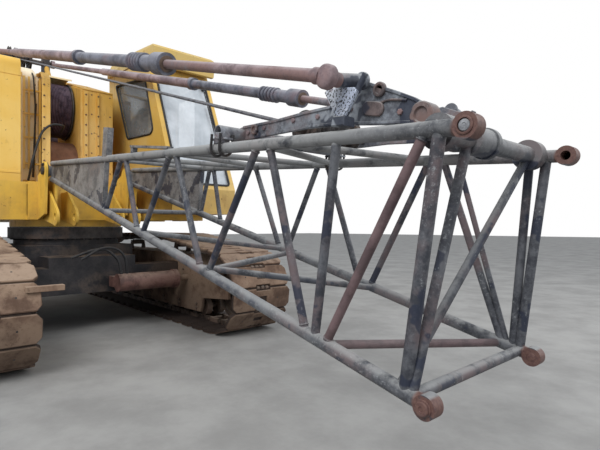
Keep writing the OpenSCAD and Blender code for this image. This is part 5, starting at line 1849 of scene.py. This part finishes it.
@dataclass
class BoomTrim(Assembly):
    """Pin heads at the foot, weld beads at the lacing, bolts, clamps, and the tip's washers and pins.

    The welds are places along the boom: where each side lacing tube meets the lower and the upper chord.
    """

    near_welds: Points = ((1.797, 2.078), (2.463, 2.158), (2.555, 2.898), (3.386, 2.968), (3.468, 3.828),
                          (4.300, 3.918), (4.425, 4.770))
    far_welds: Points = ((1.797, 1.900), (2.160, 1.960), (2.250, 2.530), (3.012, 2.606), (3.104, 3.345),
                         (3.835, 3.430), (3.925, 4.225))
    weld_in: float = 0.034
    weld_r: float = 0.0195
    bead_r: float = 0.0038
    foot_y: float = 0.510
    arm_face: float = 0.320
    arm_bolts: Points = ((3.56, 0.455), (3.70, 0.480), (3.93, 0.515), (4.10, 0.530), (4.27, 0.60), (4.30, 0.56),
                         (4.56, 0.54))
    clamps_at: tuple[float, float] = (3.455, 3.540)
    clamp_r: float = 0.040
    leg: float = 0.075
    lug_half: float = 0.028
    washer: Points = ((0.0, 0.030), (0.004, 0.030), (0.006, 0.027), (0.006, 0.0225), (0.0, 0.0225))
    flush: Points = ((-0.026, 0.0), (-0.026, 0.0185), (-0.024, 0.0208), (0.028, 0.0208), (0.0315, 0.0175),
                     (0.0325, 0.008), (0.030, 0.006), (0.030, 0.0))
    headed: Points = ((-0.030, 0.0), (-0.030, 0.0175), (-0.028, 0.0208), (0.034, 0.0208), (0.0345, 0.025),
                      (0.041, 0.0255), (0.044, 0.022), (0.044, 0.010), (0.041, 0.008), (0.041, 0.0))

    def chord(self, s: float) -> float:
        """Half the height between the chords at a distance along the boom."""
        return FOOT_HALF + (TIP_HALF - FOOT_HALF) * s / BOOM_LENGTH

    def weld_rings(self) -> list[Form]:
        """A thin weld bead round each end of the side lacing: circles about the tube, carried as closed tubes.

        Returns:
            The beads.
        """
        t, rings = around(16), []
        for y, pairs in ((-CHORD_Y, self.near_welds), (CHORD_Y, self.far_welds)):
            for low, high in pairs:
                a, b = in_boom(low, -self.chord(low), y), in_boom(high, self.chord(high), y)
                along = unit(b - a)
                ring = self.weld_r * (np.cos(t)[:, None] * np.array(Y) + np.sin(t)[:, None] * np.cross(along, Y))
                rings += [Form.tube(centre + ring, self.bead_r, 6, closed=True, up=along)
                          for centre in (a + along * self.weld_in, b - along * self.weld_in)]
        return rings

    def foot_pins(self) -> list[Form]:
        """Pin heads with a keeper plate and two bolts outside each foot bracket.

        Returns:
            Head, plate and bolts on each side.
        """
        x, z = FOOT_PIN
        forms = []
        for way in BOTH:
            y, face = way * self.foot_y, way * (self.foot_y + 0.010)
            head = [(0.0, 0.048), (0.016, 0.048), (0.021, 0.043)]
            forms.append(Form.lathe(head, (x, y, z), (0, way, 0), 28))
            forms.append(Form.box((0.915, min(y, face), 1.875), (0.985, max(y, face), 1.905), 0.002))
            forms.append(bolts(spots((0.928, 0.972), face, 1.890), (0, way, 0), 0.009, 0.008))
        return forms

    def bridle_bolts(self) -> list[Form]:
        """Bolt heads on the bridle's arms, the last on the near arm alone.

        Returns:
            The near arm's heads and the far arm's.
        """
        s, h = np.array(self.arm_bolts).T
        near, far = in_boom(s, h, -self.arm_face), in_boom(s, h, self.arm_face)[:-1]
        return [bolts(near, (0, -1, 0), 0.013, 0.013 * 0.7), bolts(far, Y, 0.013, 0.013 * 0.7)]

    def clamps(self) -> list[Form]:
        """Two U-shaped round-bar clamps under each upper chord beside the bridle's pipe.

        Returns:
            The four clamps.
        """
        t, r, forms = np.linspace(0.0, np.pi, 13), self.clamp_r, []
        along = in_boom(1.0, 0.0, 0.0) - in_boom(0.0, 0.0, 0.0)
        for s in self.clamps_at:
            h = self.chord(s)
            above = np.concatenate([[h + self.leg], h - r * np.sin(t), [h + self.leg]])
            for y in (-CHORD_Y, CHORD_Y):
                across = np.concatenate([[y + r], y + r * np.cos(t), [y - r]])
                forms.append(Form.tube(in_boom(s, above, across), 0.0075, 8, up=along))
        return forms

    def at_tip(self, profile: Points, way: float, side: float, out: float = 0.0) -> Form:
        """A profile turned about a tip lug's hole: way is upper or lower, out the start's distance outward."""
        start = in_boom(BOOM_LENGTH, way * TIP_HALF, side * (CHORD_Y + out))
        return Form.lathe(profile, start, (0, side, 0), 28)

    def pieces(self) -> list[Piece]:
        """Weld beads, foot pins, bolts and clamps, the tip's washers, its flush bright pin and its headed pins.

        Returns:
            The pieces, in the order in which they are made.
        """
        washers = [self.at_tip(self.washer, way, -side, self.lug_half) for way in BOTH for side in BOTH]
        lower = [self.at_tip(self.headed, -1.0, -side) for side in BOTH]
        return [Piece("boom_weld_rings", self.weld_rings(), Finish.TUBES, "boom"),
                Piece("boom_foot_pins", self.foot_pins(), Finish.DARK, "upperworks"),
                Piece("bridle_bolts", self.bridle_bolts(), Finish.ROD, "boom"),
                Piece("boom_chord_clamps", self.clamps(), Finish.DARK, "boom"),
                Piece("tip_lug_washers", washers, Finish.BOSSES, "boom"),
                Piece("tip_pin_upper", [self.at_tip(self.flush, 1.0, -1.0)], Finish.BRIGHT, "boom"),
                Piece("tip_pins_lower", lower, Finish.BOSSES, "boom")]


# ---------------------------------------------------------------- studio

@dataclass
class Studio:
    """Camera, lamps, world and floor."""

    eye: Triple = (5.36635, -1.80, 1.2)
    heading: Triple = (-0.741, 0.672, 0.0)
    lens: float = 27.42
    shift_down: float = 2.0 / 600.0
    floor_size: float = 60.0
    floor_z: float = -0.002
    sky: Colour = (0.93, 0.96, 1.0)
    sky_strength: float = 0.8

    def put(self, name: str, data: bpy.types.ID, place: Any = (0.0, 0.0, 0.0),
            look: Any = None) -> bpy.types.Object:
        """Puts an object in the scene.

        Args:
            name: its name.
            data: its camera, lamp or mesh.
            place: where it stands.
            look: which way its minus z faces, or None for unturned.

        Returns:
            The object.
        """
        thing = bpy.data.objects.new(name, data)
        thing.location = place
        if look is not None:
            thing.rotation_euler = Vector(look).to_track_quat("-Z", "Y").to_euler()
        bpy.context.scene.collection.objects.link(thing)
        return thing

    def camera(self) -> None:
        """Level camera at the photograph's place."""
        data = bpy.data.cameras.new("camera")
        data.lens = self.lens
        data.sensor_width = 36.0
        data.shift_y = self.shift_down
        data.clip_end = 200.0
        bpy.context.scene.camera = self.put("camera", data, self.eye, self.heading)

    def lamp(self, name: str, place: Triple, aim: Triple, size: float, watts: float) -> None:
        """A square area lamp.

        Args:
            name: its name.
            place: where it stands.
            aim: what it faces.
            size: its side in metres.
            watts: its power.
        """
        data = bpy.data.lights.new(name, "AREA")
        data.size = size
        data.energy = watts
        self.put(name, data, place, Vector(aim) - Vector(place))

    def floor(self) -> None:
        """A wide pale floor under the tracks."""
        half, low = self.floor_size, self.floor_z
        corners = [(-half, -half, low), (half, -half, low), (half, half, low), (-half, half, low)]
        mesh = bpy.data.meshes.new("studio_floor")
        mesh.from_pydata(corners, [], [(0, 1, 2, 3)])
        thing = self.put("studio_floor", mesh)
        s = Shader("pale_concrete")
        grain = s.noise(1.5, 6.0, 0.65)
        colour = s.mix(grain.span(0.3, 0.7), (0.245, 0.242, 0.235), (0.335, 0.332, 0.322))
        mesh.materials.append(s.finish(colour, 0.9, 0.0, grain, 0.002))

    def world(self) -> None:
        """White to the camera, a soft plain sky to the object."""
        s = Shader("soft_sky", bpy.data.worlds)
        bpy.context.scene.world = s.owner
        rays = [s.node("ShaderNodeLightPath", {}, {}, f"Is {kind} Ray") for kind in ("Camera", "Transmission")]
        sky, white = (s.node("ShaderNodeBackground", {}, {"Color": colour, "Strength": strength})
                      for colour, strength in ((self.sky, self.sky_strength), ((1.0, 1.0, 1.0), 1.0)))
        join = s.node("ShaderNodeMixShader", {}, {0: rays[0].math("MAXIMUM", *rays), 1: sky, 2: white})
        s.node("ShaderNodeOutputWorld", {}, {"Surface": join})

    def build(self) -> None:
        """Puts up the whole studio."""
        bpy.context.scene.view_settings.view_transform = "Standard"
        self.camera()
        self.floor()
        self.world()
        self.lamp("key_lamp", (7.0, -9.0, 11.0), (0.0, 0.0, 1.5), 7.0, 1300.0)
        self.lamp("fill_lamp", (9.0, 7.0, 6.0), (1.0, 0.0, 1.5), 7.0, 350.0)


def main() -> None:
    """Builds the studio and the crane's sub-assemblies in order."""
    logging.basicConfig(level=logging.INFO, format="%(message)s")
    Studio().build()
    shop = Workshop()
    shop.dress_nodes()
    crawlers = [kind(side) for kind in (TrackLoop, CrawlerTrim) for side in Side]
    upper = [CarbodyTrim(), HouseTrim(), DrumBay(), CabTrim(), Rigging()]
    boom = [Backstop(Side.LEFT), Backstop(Side.RIGHT), Bridle(), StrutBrackets(), BoomTrim()]
    for assembly in (*crawlers, *upper, *boom):
        assembly.build(shop)
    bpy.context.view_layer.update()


if __name__ == "__main__":
    main()
